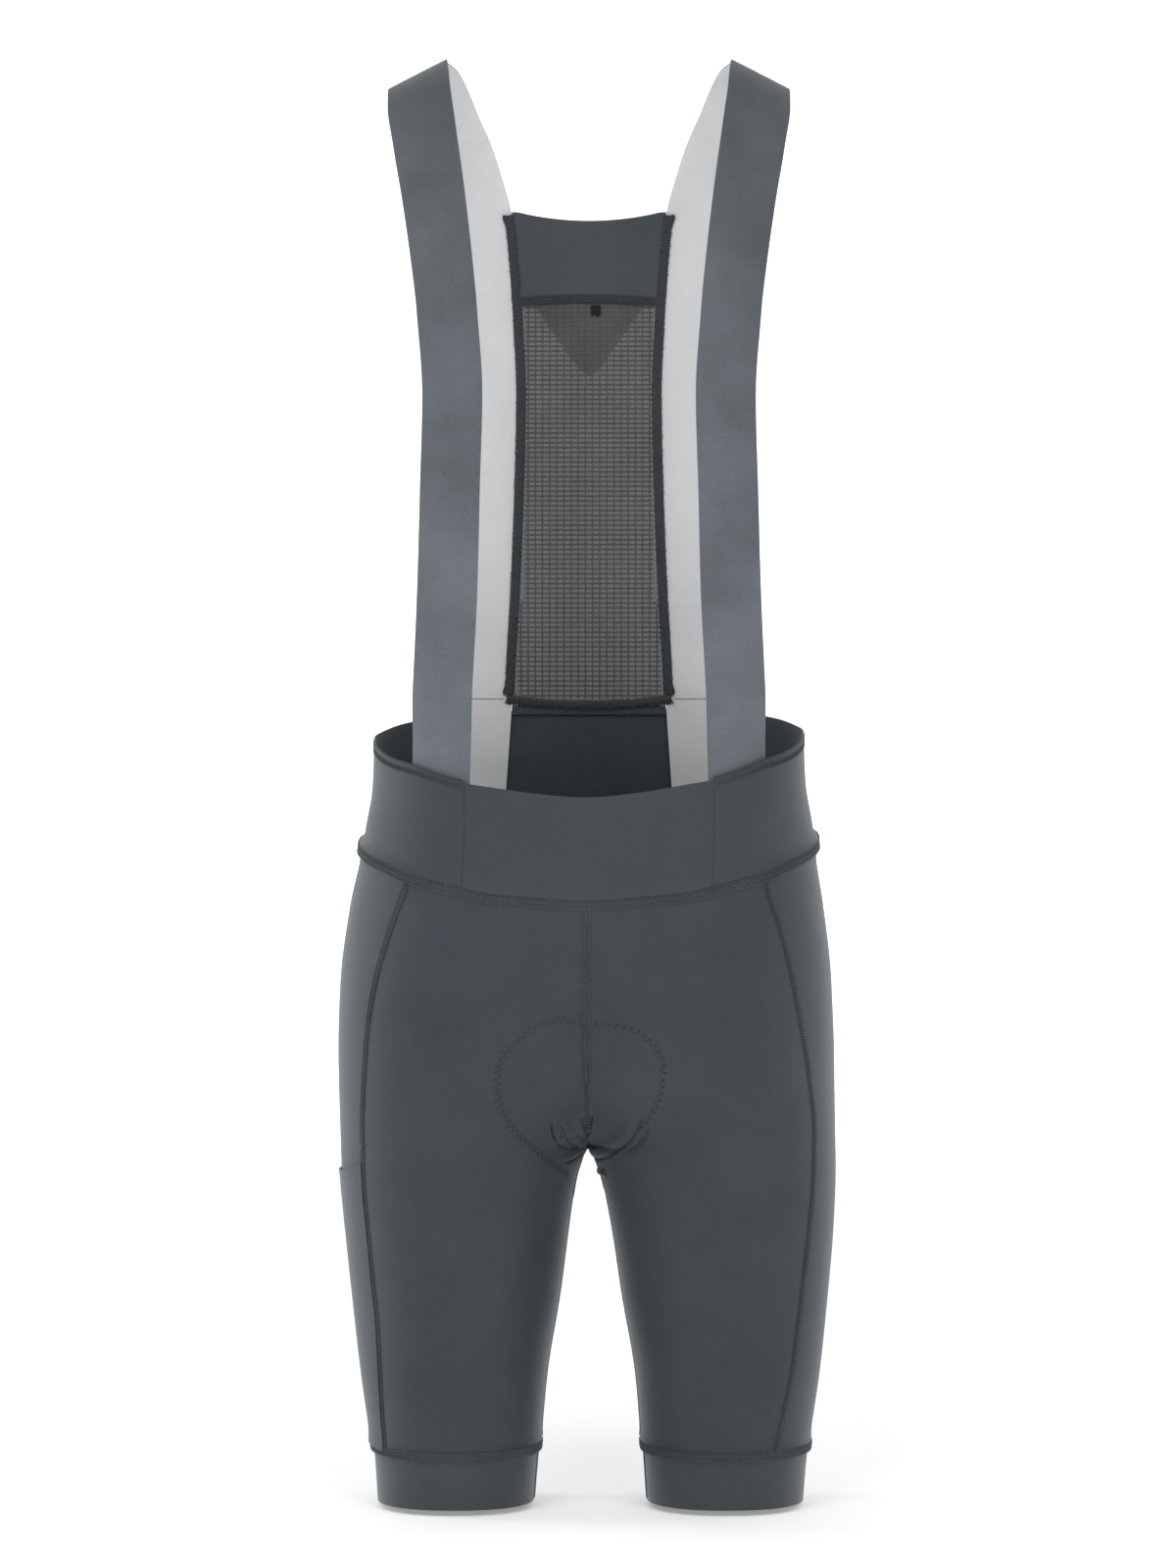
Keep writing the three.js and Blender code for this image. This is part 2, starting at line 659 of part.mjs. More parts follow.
// A strap's middle surface: stations up the front, over the shoulder and down the back
const STRAP_STATIONS = [
  ...steps(11).map((t) => ({ run: 'front', height: lerp(458, FRONT_DOME, t) })),
  ...steps(9).slice(1).map((t) => ({ run: 'over', turn: 90 * t })),
  ...steps(9).slice(1).map((t) => ({ run: 'over', turn: 90 + 90 * t })),
  ...steps(11).slice(1).map((t) => ({ run: 'back', height: lerp(BACK_DOME, 472, t) })),
];

function strapX(rows, key, at, across) {
  return lerp(readTable(rows, key, 'inner', at), readTable(rows, key, 'outer', at), across);
}

function strapPoint(station, across) {
  if (station.run === 'over') {
    const turn = THREE.MathUtils.degToRad(station.turn);
    const x = strapX(STRAP_OVER, 'turn', station.turn, across);
    const onBack = station.turn > 90;
    const base = onBack ? BACK_DOME : FRONT_DOME;
    const reach = Math.abs(Math.cos(turn)) ** (2 / DOME_POWER);
    const rise = Math.sin(turn) ** (2 / DOME_POWER);
    return new THREE.Vector3(
      x,
      SHOULDER_Y + (trunkY(x, base, onBack) - SHOULDER_Y) * reach,
      base + (crestAt(x) - base) * rise,
    );
  }
  const onBack = station.run === 'back';
  const x = strapX(onBack ? STRAP_BACK : STRAP_FRONT, 'height', station.height, across);
  return new THREE.Vector3(x, trunkY(x, station.height, onBack), station.height);
}

function strap(side) {
  const shares = steps(3);
  const points = STRAP_STATIONS.map((station) => shares.map((across) => strapPoint(station, across)));
  const grid = points.map((row, j) => row.map((point, i) => {
    const along = points[Math.min(j + 1, points.length - 1)][i].clone().sub(points[Math.max(j - 1, 0)][i]);
    const over = row[Math.min(i + 1, row.length - 1)].clone().sub(row[Math.max(i - 1, 0)]);
    const outward = over.cross(along).normalize();
    const station = STRAP_STATIONS[j];
    let tuck = 0;
    if (station.run === 'front') tuck = tuckFront(station.height);
    if (station.run === 'back') tuck = tuckBack(station.height);
    const outer = point.clone().addScaledVector(outward, -tuck);
    const inner = outer.clone().addScaledVector(outward, -STRAP);
    outer.x *= side;
    inner.x *= side;
    return { outer, inner };
  }));
  return wall(grid);
}

// Sheets on the back between the straps
function strapInnerAt(height) {
  if (height <= BACK_DOME) return readTable(STRAP_BACK, 'height', 'inner', height);
  const up = (height - BACK_DOME) / (crestAt(CREST.x / 2) - BACK_DOME);
  const turn = 180 - THREE.MathUtils.radToDeg(Math.asin(up ** (DOME_POWER / 2)));
  return readTable(STRAP_OVER, 'turn', 'inner', turn);
}

function backSheet({ columns, rows, bottom, top, lift, thickness }) {
  const shares = steps(columns, (t) => 2 * t - 1);
  const grid = steps(rows).map((v) => shares.map((share) => {
    let x = 0;
    let height = 0;
    for (let pass = 0; pass < 4; pass += 1) {
      height = lerp(bottom(x), top(x), v);
      x = share * (strapInnerAt(height) - SEAM_GAP);
    }
    return backSpot(x, height, lift, thickness);
  }));
  return wall(grid);
}

const netPanel = () => backSheet({
  columns: 8,
  rows: 18,
  bottom: () => NET_BOTTOM,
  top: () => NET_TOP,
  lift: 0,
  thickness: NET,
});

const yokeTopAt = (x) => lerp(YOKE_TOP.centre, YOKE_TOP.corner, Math.min((x / 50) ** 2, 1));
const yokeHemAt = (x) => lerp(YOKE_HEM.centre, YOKE_HEM.corner, Math.min((x / 50) ** 2, 1));
const yokePointAt = (x) => YOKE_POINT.tip + YOKE_POINT.slope * (Math.hypot(x, YOKE_POINT.round) - YOKE_POINT.round);

const innerYoke = () => backSheet({
  columns: 8,
  rows: 5,
  bottom: yokeHemAt,
  top: yokeTopAt,
  lift: -NET - LAYER_GAP,
  thickness: YOKE,
});

const outerYoke = () => backSheet({
  columns: 14,
  rows: 6,
  bottom: yokePointAt,
  top: yokeTopAt,
  lift: YOKE + LAYER_GAP,
  thickness: YOKE,
});

function loopTab() {
  const rows = steps(2).map((v) => steps(2).map((t) => {
    const x = lerp(LOOP.left, LOOP.right, t);
    return backSpot(x, lerp(LOOP.low + LOOP.slant * t, LOOP.top, v), -NET - LAYER_GAP, YOKE);
  }));
  return wall(rows);
}

// Overlocked seam edges: low rounded ridges on the inner side, beside the net and under it
const RIDGE_SHAPE = [0.35, 1, 1, 0.35];
const RIDGE_LIFT = -STRAP - LAYER_GAP;

function sideRidge(side) {
  const grid = steps(26).map((v) => RIDGE_SHAPE.map((share, i) => {
    const height = lerp(RIDGE.bottom, RIDGE.top, v);
    const x = strapInnerAt(height) + 0.4 + (RIDGE.width * i) / (RIDGE_SHAPE.length - 1);
    const spot = backSpot(x, height, RIDGE_LIFT, RIDGE.height * share);
    spot.outer.x *= side;
    spot.inner.x *= side;
    return spot;
  }));
  return wall(grid);
}

function bottomRidge() {
  const grid = steps(14, (t) => 2 * t - 1).map((share) => RIDGE_SHAPE.map((tall, i) => {
    const height = RIDGE.low + RIDGE.rise * share ** 2 + (RIDGE.width * i) / (RIDGE_SHAPE.length - 1) - 0.4;
    return backSpot(share * RIDGE.reach, height, RIDGE_LIFT, RIDGE.height * tall);
  }));
  return wall(grid);
}

// The seat pad on the inner side of the crotch. Its rows cross from the left leg to the right one; they
// turn from level, at the ends, to straight down the inseams at the crotch.
function padSpot(along, across) {
  const atFront = along < 0;
  const share = Math.abs(along);
  const rise = share ** 1.8 * (atFront ? PAD.front : PAD.back);
  const bend = (Math.PI / 2) * (1 - share) ** 1.5;
  const endWidth = atFront ? PAD.frontWidth : PAD.backWidth;
  const round01 = Math.sqrt(1 - (0.94 * share) ** 6);
  const half = lerp(PAD.crotchWidth, endWidth, smoothstep(share, 0, 0.7)) * round01;
  const reach = Math.abs(across) * half;
  const height = CROTCH_HEIGHT + rise - reach * Math.sin(bend) + 0.05;
  const round = (reach * Math.cos(bend)) / outlineAt(height).length;
  const thick = PAD.rim + (PAD.thickness - PAD.rim) * (1 - across ** 4) * (1 - share ** 6);
  const side = across < 0 ? -1 : 1;
  return skinSpot(side, atFront ? round : 1 - round, height, -LYCRA - PAD_GAP, thick, []);
}

function seatPad() {
  const shares = (count) => steps(count, (t) => 2 * t - 1);
  return wall(shares(20).map((along) => shares(10).map((across) => padSpot(along, across))));
}

// Materials, one for each finish
const finishes = {
  lycra: { color: 0x4a5258, roughness: 0.62 },
  band: { color: 0x4d555b, roughness: 0.66 },
  cuff: { color: 0x454d53, roughness: 0.6 },
  elastic: { color: 0x67707a, roughness: 0.7 },
  net: { color: 0x565a5e, roughness: 0.75 },
  thread: { color: 0x3c4146, roughness: 0.85 },
  padding: { color: 0x8c9196, roughness: 0.9 },
};

function piece(name, finish, geometry) {
  const material = new THREE.MeshStandardMaterial({ ...finishes[finish], metalness: 0 });
  const mesh = new THREE.Mesh(geometry, material);
  mesh.name = name;
  return mesh;
}

const shorts = new THREE.Group();
shorts.add(
  piece('waistband_front', 'band', frontBand()),
  piece('waistband_back', 'band', backBand()),
  piece('side_pocket', 'lycra', sidePocket()),
  piece('seat_pad', 'padding', seatPad()),
  piece('back_mesh', 'net', netPanel()),
  piece('back_yoke', 'lycra', innerYoke()),
  piece('back_yoke_outer', 'lycra', outerYoke()),
  piece('loop_tab', 'thread', loopTab()),
  piece('overlock_bottom', 'thread', bottomRidge()),
);
for (const [name, side] of [['right', -1], ['left', 1]]) {
  shorts.add(
    piece(`leg_front_${name}`, 'lycra', legPanel(side, 'front')),
    piece(`leg_side_${name}`, 'lycra', legPanel(side, 'side')),
    piece(`leg_back_${name}`, 'lycra', legPanel(side, 'back')),
    piece(`leg_cuff_${name}`, 'cuff', cuff(side)),
    piece(`strap_${name}`, 'elastic', strap(side)),
    piece(`overlock_${name}`, 'thread', sideRidge(side)),
  );
}

// The straps bear on the shoulders under the middle of their crests
const bearing = crestAt(CREST.x + 20) - STRAP;
shorts.position.set(0, -SHOULDER_Y, -bearing);
shorts.updateMatrixWorld(true);

export default shorts;
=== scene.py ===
# %% [markdown]
# # Cycling bib shorts
# A pair of bib shorts is a few flat pieces of stretch cloth sewn into a hollow shape: three panels round
# each leg, a wide waistband, cuffs, a net back and two elastic straps. The fixed frame holds every piece
# at its real size. Here each piece gets a finer wall on the same form, its own finish and its sewing.

# %% Load the frame
import math
import bpy
import numpy as np
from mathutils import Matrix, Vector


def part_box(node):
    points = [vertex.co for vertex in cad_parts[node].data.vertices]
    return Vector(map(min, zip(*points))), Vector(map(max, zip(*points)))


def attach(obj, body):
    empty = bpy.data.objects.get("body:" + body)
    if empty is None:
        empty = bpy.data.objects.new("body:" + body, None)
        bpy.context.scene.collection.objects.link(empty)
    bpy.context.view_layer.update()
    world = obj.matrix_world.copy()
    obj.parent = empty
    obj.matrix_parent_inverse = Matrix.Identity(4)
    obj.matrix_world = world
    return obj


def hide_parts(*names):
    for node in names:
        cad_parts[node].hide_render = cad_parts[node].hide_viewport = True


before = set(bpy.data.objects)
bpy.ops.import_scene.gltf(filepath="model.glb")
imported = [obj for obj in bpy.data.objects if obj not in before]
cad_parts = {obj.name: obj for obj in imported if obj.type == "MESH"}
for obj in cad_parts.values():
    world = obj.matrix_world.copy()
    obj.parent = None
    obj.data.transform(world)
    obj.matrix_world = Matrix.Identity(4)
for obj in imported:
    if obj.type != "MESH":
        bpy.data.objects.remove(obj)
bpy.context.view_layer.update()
print("nodes in the frame:", len(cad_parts))

# %% [markdown]
# ## Sizes
# Lengths are in millimetres, heights measured up from the leg hems and x and y from the body's middle,
# as a pattern cutter would note them. One function turns them into the frame's metres. The frame's
# origin lies under the straps' crests, so the hems' place is read from a node's box.

# %% Sizes and tables
SEAM_GAP = 0.3
LYCRA = 1.2
BAND = 1.6
CUFF = 1.4
CUFF_INSET = 1.0
STRAP = 1.5
NET = 1.0
YOKE = 1.0
LAYER_GAP = 0.6
FRONT_TUCK = BAND + 1.8
BACK_TUCK = BAND + 1.25
CROTCH_HEIGHT = 243.0
CROTCH_FILLET = 5.0
FRONT_ARCH = 75.0
BACK_ARCH = 150.0
ARCH_START = 2.2
TORSO_POWER = 2.25
SHOULDER_Y = 15.0
FRONT_DOME = 800.0
BACK_DOME = 850.0
DOME_POWER = 2.2
CREST_HEIGHT = 979.0
CREST_X = 97.5
CREST_SLOPE = 0.5
WRAP_STEP = 1.9
CENTRE_SOFTNESS = 0.04
HITCH_REACH = 150.0
BAND_SPLIT_X = 82.5
HEM_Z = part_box("leg_cuff_right")[0][2]


def to_frame(points):
    """Millimetres from the hems and the body's middle, to metres in the frame."""
    points = np.asarray(points, float)
    return np.stack([points[..., 0], points[..., 1] - SHOULDER_Y, points[..., 2]], -1) / 1000 + [0, 0, HEM_Z]


def table(names, *rows):
    return dict(zip(names.split(), np.array(rows, float).T))


LEVELS = table(
    "height outer inner front back widest mid_front mid_back",
    (0, 145.5, 37.3, -62, 58, -2, 91, 91),
    (41, 148.8, 34.2, -66, 63, -2, 91, 91),
    (85, 155, 30.3, -73, 70, -1, 92, 92),
    (139, 161, 21.3, -80, 80, 0, 91, 91),
    (192, 166, 13.7, -88, 92, 2, 90, 88),
    (219, 167.8, 8.6, -92, 99, 3, 88, 85),
    (232, 168.2, 4, -94, 103, 4, 87, 83),
    (243, 168.3, 0, -96, 107, 4, 86, 82),
    (299, 168.7, 0, -104, 120, 5, 80, 74),
    (352, 167, 0, -108, 122, 4, 66, 66),
    (405, 160.5, 0, -109, 112, 0, 54, 58),
    (432, 155.3, 0, -108.5, 106, -3, 48, 54),
    (459, 151.3, 0, -108, 100, -5, 44, 50),
    (485, 147, 0, -107.5, 95, -7, 41, 46),
    (512, 146, 0, -107.5, 92, -8, 38, 42),
    (620, 148, 0, -110, 89, -9, 36, 36),
    (700, 152, 0, -114, 92, -10, 36, 34),
    (800, 160, 0, -120, 100, -10, 36, 34),
    (850, 163, 0, -121, 105, -10, 36, 34),
)
LEAN = table(
    "height x", (0, 1), (85, 1.6), (165, 1.2), (219, 0), (299, -1.8), (340, -2.1), (405, -1.6), (450, 0),
)
HITCH = table("height rise", (330, 0), (400, 0.6), (430, 1.1), (480, 2.2), (540, 2.4))
WAIST_TOP = table(
    "round height", (0, 474.6), (0.1, 480), (0.157, 484), (0.199, 486.8), (0.241, 491.1), (0.3, 498.2),
    (0.35, 502.3), (0.4, 507.2), (0.44, 511.3), (0.48, 514.4), (0.52, 518.2), (0.58, 521.6),
    (0.66, 527.4), (0.8, 534.6), (1, 536.6),
)
WAIST_SEAM = table(
    "round height", (0, 406.3), (0.1, 410.8), (0.146, 412.8), (0.185, 416.7), (0.222, 420.6),
    (0.274, 425.6), (0.313, 431.2), (0.338, 434.3), (0.37, 437.5), (0.41, 441.6), (0.44, 444.2),
    (0.47, 446.2), (0.52, 450), (0.58, 453), (0.66, 460.5), (0.8, 468), (1, 470),
)
CUFF_SEAM = table("round top", (0, 40), (0.25, 34), (0.5, 40), (0.75, 37), (1, 40))
SIDE_FRONT = table(
    "height right left", (0, 136, 121), (41, 138.2, 124.5), (58, 140, 127.5), (90, 141.7, 134),
    (123, 143.2, 138.5), (156, 146.2, 142.4), (189, 148.7, 146.4), (222, 150.6, 150),
    (256, 150.2, 151.3), (289, 148.2, 148.5), (322, 145.3, 143.7), (354, 140, 137.8),
    (387, 130.9, 129.6), (410, 123, 121.8), (424, 118, 117.6), (450, 111, 110.5),
)
SIDE_BACK = table("height x", (0, 122), (85, 128), (186, 138), (277, 140), (360, 130), (460, 106))
WAIST_LIP = table("round rise", (0, 1), (0.2, 1), (0.45, 3.2), (0.55, 3.2), (0.8, 1.8), (1, 1.8))
STRAP_FRONT = table(
    "height inner outer", (458, 80.8, 116.5), (484, 80.2, 117.6), (500, 79.9, 119.6), (550, 77.3, 117),
    (614, 73.9, 114), (679, 72.2, 112), (743, 70.4, 110.2), (800, 74, 114),
)
STRAP_OVER = table(
    "turn inner outer", (0, 74, 114), (24, 83, 124), (39, 88.5, 130), (60, 94, 135.5), (90, 97, 136.5),
    (112, 88.5, 131), (134, 78, 121.5), (147, 68.6, 112.5), (158, 61, 104.5), (168, 54.5, 98),
    (180, 50.5, 93.5),
)
STRAP_BACK = table(
    "height inner outer", (472, 59, 102), (540, 54.3, 97.5), (568, 52.8, 96), (622, 49.5, 92.7),
    (692, 46.8, 90), (755, 45.5, 88.7), (808, 47.6, 90.6), (850, 50.5, 93.5),
)


def read(tab, column, at):
    """Reads a table's column between its rows, smoothly and without overshoot."""
    keys = next(iter(tab.values()))
    values = tab[column]
    secants = np.diff(values) / np.diff(keys)
    before, after = secants[:-1], secants[1:]
    total = np.where(before * after > 0, before + after, 1)
    inside = np.where(before * after > 0, 2 * before * after / total, 0)
    slopes = np.concatenate([secants[:1], inside, secants[-1:]])
    at = np.clip(at, keys[0], keys[-1])
    k = np.clip(np.searchsorted(keys, at) - 1, 0, len(keys) - 2)
    span = keys[k + 1] - keys[k]
    t = (at - keys[k]) / span
    leaving, arriving = slopes[k] * span, slopes[k + 1] * span
    rise = values[k + 1] - values[k]
    bend = 3 * rise - 2 * leaving - arriving + t * (leaving + arriving - 2 * rise)
    return values[k] + t * (leaving + t * bend)


def blend(a, b, t):
    return a + (b - a) * t


def ramp(value, low, high):
    t = np.clip((value - low) / (high - low), 0, 1)
    return t * t * (3 - 2 * t)


def bump(distance, width):
    return np.exp(-((distance / width) ** 2))


def lengths_along(points, axis):
    steps = np.linalg.norm(np.diff(points, axis=axis), axis=-1)
    start = np.zeros_like(np.take(steps, [0], axis=axis))
    return np.concatenate([start, np.cumsum(steps, axis=axis)], axis=axis)


print("hem at z =", round(HEM_Z, 4), "m; crests at", CREST_HEIGHT, "mm above it")

# %% [markdown]
# ## The skin that the cloth follows
# Every panel of a worn pair of shorts lies on one smooth skin, so one function is enough: the way round
# the half body (0 centre front or inseam, 1 centre back) and the height give a point and the direction
# outwards. Below the crotch the same section closes round a leg. Sculpting this by hand would never meet
# the frame's solids as well as the formula they were made from.

# %% The skin
QUARTER = 40


def level_at(height):
    level = {name: read(LEVELS, name, height) for name in list(LEVELS)[1:]}
    level["inner"] = np.hypot(level["inner"], CROTCH_FILLET)
    for name, arch in (("front", FRONT_ARCH), ("back", BACK_ARCH)):
        above = np.maximum(height - CROTCH_HEIGHT, 0)
        above = above**2 / (above + ARCH_START)
        depth = np.sqrt(1 - (1 - np.clip(above / arch, 0, 1)) ** 2)
        valley = np.maximum(np.abs(1 - depth**TORSO_POWER) ** (1 / TORSO_POWER), 0.02)
        level["valley_" + name] = np.where(height > CROTCH_HEIGHT, valley, 1.0)
    return level


def outline_at(height):
    """The outlines of many levels at once: x, y and the length so far, a row for each height."""
    level = {name: value[:, None] for name, value in level_at(height).items()}
    power = 2 / TORSO_POWER
    falling = 1 - np.arange(QUARTER) / QUARTER
    rising = np.arange(QUARTER) / QUARTER
    wide, deep = [], []
    for face, inner_t, outer_t in (("front", falling, rising), ("back", np.append(rising, 1.0), falling)):
        mid, valley = level["mid_" + face], level["valley_" + face]
        depth = level[face] - level["widest"]
        angle = np.arcsin(valley ** (1 / power)) * inner_t
        inner_arc = (
            mid - (mid - level["inner"]) * np.sin(angle) ** power / valley,
            level["widest"] + depth * np.cos(angle) ** power,
        )
        angle = outer_t[None, :] * math.pi / 2
        outer_arc = (
            mid + (level["outer"] - mid) * np.sin(angle) ** power,
            level["widest"] + depth * np.abs(np.cos(angle)) ** power,
        )
        for x, y in (inner_arc, outer_arc) if face == "front" else (outer_arc, inner_arc):
            wide.append(x)
            deep.append(y)
    wide, deep = np.concatenate(wide, 1), np.concatenate(deep, 1)
    x = np.sqrt(np.maximum(wide**2 - CROTCH_FILLET**2, 0))
    length = np.cumsum(np.hypot(np.diff(x, axis=1), np.diff(deep, axis=1)), 1)
    return x, deep, np.concatenate([np.zeros((len(x), 1)), length], 1)


def place_at(way, height):
    """x and y at a way round and a height, going on into the other half past an end."""
    x, y, length = outline_at(height)
    way = np.where(height < CROTCH_HEIGHT, way - np.floor(way), way)
    mirror = np.where((way < 0) | (way > 1), -1.0, 1.0)
    way = np.where(way > 1, 2 - way, np.abs(way))
    wanted = way * length[:, -1]
    rows = np.arange(len(x))
    low = np.clip((length <= wanted[:, None]).sum(1) - 1, 0, x.shape[1] - 2)
    t = (wanted - length[rows, low]) / np.maximum(length[rows, low + 1] - length[rows, low], 1e-9)
    return mirror * blend(x[rows, low], x[rows, low + 1], t), blend(y[rows, low], y[rows, low + 1], t)


def way_at_x(x, height, on_back=False):
    """The way round at which each level's outline reaches an x, on its front or its back."""
    height = np.atleast_1d(np.asarray(height, float))
    xs, _, length = outline_at(height)
    side = 2 * QUARTER
    ways = np.empty(len(height))
    for k, wanted in enumerate(np.broadcast_to(x, height.shape)):
        half = slice(side, None) if on_back else slice(0, side + 1)
        along, across = length[k, half], xs[k, half]
        if on_back:
            along, across = along[::-1], across[::-1]
        rising = np.maximum.accumulate(across)
        ways[k] = np.interp(wanted, rising, along) / length[k, -1]
    return ways


def outsideness(x, y, height):
    level = level_at(height)
    wide = np.hypot(x, CROTCH_FILLET)
    front = y < level["widest"]
    mid = np.where(front, level["mid_front"], level["mid_back"])
    valley = np.where(front, level["valley_front"], level["valley_back"])
    depth = np.where(front, level["widest"] - level["front"], level["back"] - level["widest"])
    across = np.where(
        wide > mid,
        (wide - mid) / (level["outer"] - mid),
        valley * (mid - wide) / np.maximum(mid - level["inner"], 1e-6),
    )
    return np.abs(across) ** TORSO_POWER + (np.abs(y - level["widest"]) / depth) ** TORSO_POWER


def unit(vectors):
    return vectors / np.maximum(np.linalg.norm(vectors, axis=-1, keepdims=True), 1e-12)


def outward_at(x, y, height):
    step = 0.2
    return unit(np.stack([
        outsideness(x + step, y, height) - outsideness(x - step, y, height),
        outsideness(x, y + step, height) - outsideness(x, y - step, height),
        outsideness(x, y, height + step) - outsideness(x, y, height - step),
    ], -1))


def folded(way):
    return np.abs(np.where(way > 1, 2 - way, way))


def softened(way):
    return np.hypot(folded(way), CENTRE_SOFTNESS * (1 - folded(way)))


def waist_top(way):
    return read(WAIST_TOP, "height", softened(way))


def waist_seam(way):
    return read(WAIST_SEAM, "height", softened(way))


def cuff_seam(way):
    return read(CUFF_SEAM, "top", way - np.floor(way))


# %% [markdown]
# ## Folds and swellings
# Stretch cloth on a body has few folds: it creases where the legs meet, swells over the seat pad and
# stands a little proud where a firm band pulls it in. Each crease is a row in a table, soft trough by
# soft trough, uneven as real ones are, and placed one by one.

# %% Folds and swellings
PAD_SWELL = {"height": 284.0, "half_height": 52.0, "half_width": 58.0, "rise": 2.2}
CROTCH_ZONE, BAND_ZONE, CUFF_ZONE = (190, 330), 405, 80
WAIST_REACH, CUFF_REACH = (3.0, 6.0), (6.0, 4.0)  # how far a sewn edge's swelling runs above and below it
CREASES = (
    # side, on the back, depth, width, lobe beside it, overhang, and its line in x and height
    (-1, False, 4.4, 1.5, 1.6, 3.4,
     ((24.2, 266), (23.4, 257), (21.6, 249.5), (17.4, 244.6), (10.6, 242), (2, 243))),
    (-1, False, 2.2, 1.5, 1.0, 1.2, ((19, 264), (17.4, 255), (14.4, 248), (9, 245))),
    (-1, False, 3.4, 1.8, 1.5, 2.6, ((17, 231.5), (11.6, 234), (3, 238))),
    (-1, False, 2.4, 1.2, 0.8, 0.8, ((5.4, 267), (3.2, 260), (1.0, 252))),
    (-1, False, 0.6, 5.0, 0.3, 0, ((44, 240), (30, 233), (16, 222))),
    (1, False, 4.8, 1.7, 2.0, 3.8, ((36.6, 265), (33, 257.5), (26.4, 249.2), (16, 239), (4, 232))),
    (1, False, 2.0, 1.6, 1.0, 1.0, ((39.5, 262), (38, 253), (32, 246), (27, 242))),
    (1, False, 1.6, 1.8, 0.7, 1.2, ((25, 248.5), (15.8, 243.5), (3, 240.5))),
    (1, False, 2.4, 1.2, 0.8, 0.8, ((4.2, 268), (2.6, 261), (0.8, 252))),
    (1, False, -2.2, 2.6, 0, 0, ((12, 224), (6, 222))),
    (1, False, 0.6, 6.0, 0.3, 0, ((50, 244), (36, 232), (20, 214))),
    (-1, True, 1.5, 5.0, 0.7, 0, ((46, 246), (28, 250), (8, 246))),
    (1, True, 1.6, 5.5, 0.7, 0, ((42, 244), (26, 249), (8, 245))),
    (-1, True, 1.0, 6.0, 0.5, 0, ((58, 258), (44, 236), (26, 218))),
    (1, True, 1.1, 6.0, 0.5, 0, ((62, 262), (46, 238), (24, 220))),
    (-1, True, 0.8, 7.0, 0.4, 0, ((14, 300), (10, 270), (6, 250))),
    (1, True, 0.7, 7.0, 0.4, 0, ((16, 296), (10, 268), (6, 250))),
)
BAND_CREASES = (
    # the same for the waistband
    (-1, False, 0.5, 3.0, 0.4, 0, ((24, 447), (29, 432), (33, 416))),
    (-1, False, 0.4, 3.5, 0.3, 0, ((12, 452), (17, 436), (19, 422))),
    (-1, False, 0.4, 4.0, 0.3, 0, ((58, 430), (64, 424), (70, 421))),
    (1, False, 0.4, 3.5, 0.3, 0, ((16, 474), (19, 460), (20, 446))),
    (1, False, 0.35, 4.0, 0.3, 0, ((40, 440), (45, 428), (52, 418))),
    (1, False, 0.4, 4.0, 0.3, 0, ((98, 452), (108, 444), (120, 440))),
)


def crease_at(x, height, depth, width, lobe, over, line):
    """How far one crease takes the cloth out, and its lobe's shift over the trough in x and height."""
    line = np.array(line, float)
    length = lengths_along(line, 0)
    nearest = np.full_like(x, 1e9)
    signed = np.zeros_like(x)
    share = np.zeros_like(x)
    across = np.zeros((len(x), 2))
    for k in range(len(line) - 1):
        start, step = line[k], line[k + 1] - line[k]
        along = ((x - start[0]) * step[0] + (height - start[1]) * step[1]) / (step @ step)
        along = np.clip(along, 0, 1)
        dx, dz = x - start[0] - along * step[0], height - start[1] - along * step[1]
        far = np.hypot(dx, dz)
        closer = far < nearest
        nearest = np.where(closer, far, nearest)
        signed = np.where(closer, np.sign(step[0] * dz - step[1] * dx) * far, signed)
        share = np.where(closer, (length[k] + along * (length[k + 1] - length[k])) / length[-1], share)
        across = np.where(closer[:, None], unit(np.array([-step[1], step[0]])), across)
    fade = ramp(share, -0.02, 0.35) * ramp(1.25 - share, 0, 0.35)
    beside = lobe * bump(signed + 2.4 * width, 1.7 * width)
    hang = over * fade * bump(signed + width, 1.2 * width)
    return fade * (beside - depth * bump(signed, width)), hang[:, None] * across


def relief_at(x, y, way, height):
    """How far folds, pad and sewn edges take the cloth out, and how far folds shift it in x and height."""
    rise = np.zeros_like(x)
    shift = np.zeros((len(x), 2))
    up = (height - PAD_SWELL["height"]) / PAD_SWELL["half_height"]
    across = x / PAD_SWELL["half_width"]
    rise += np.where(y < 0, PAD_SWELL["rise"] * ramp(1 - up * up - across * across, 0, 0.8), 0)
    crotch = (height > CROTCH_ZONE[0]) & (height < CROTCH_ZONE[1])
    for creases, near in ((CREASES, crotch), (BAND_CREASES, height > BAND_ZONE)):
        for side, on_back, *crease in creases if near.any() else ():
            here = near & ((y > 0) == on_back) & (x * side > 0)
            out, moved = crease_at(x[here] * side, height[here], *crease)
            rise[here] += out
            shift[here] += moved * [side, 1]
    over_waist = height - waist_seam(way)
    rise += read(WAIST_LIP, "rise", folded(way)) * bump(over_waist, np.where(over_waist > 0, *WAIST_REACH))
    over_cuff = height - cuff_seam(way)
    rise += np.where(height < CUFF_ZONE, bump(over_cuff, np.where(over_cuff > 0, *CUFF_REACH)), 0)
    return rise, shift


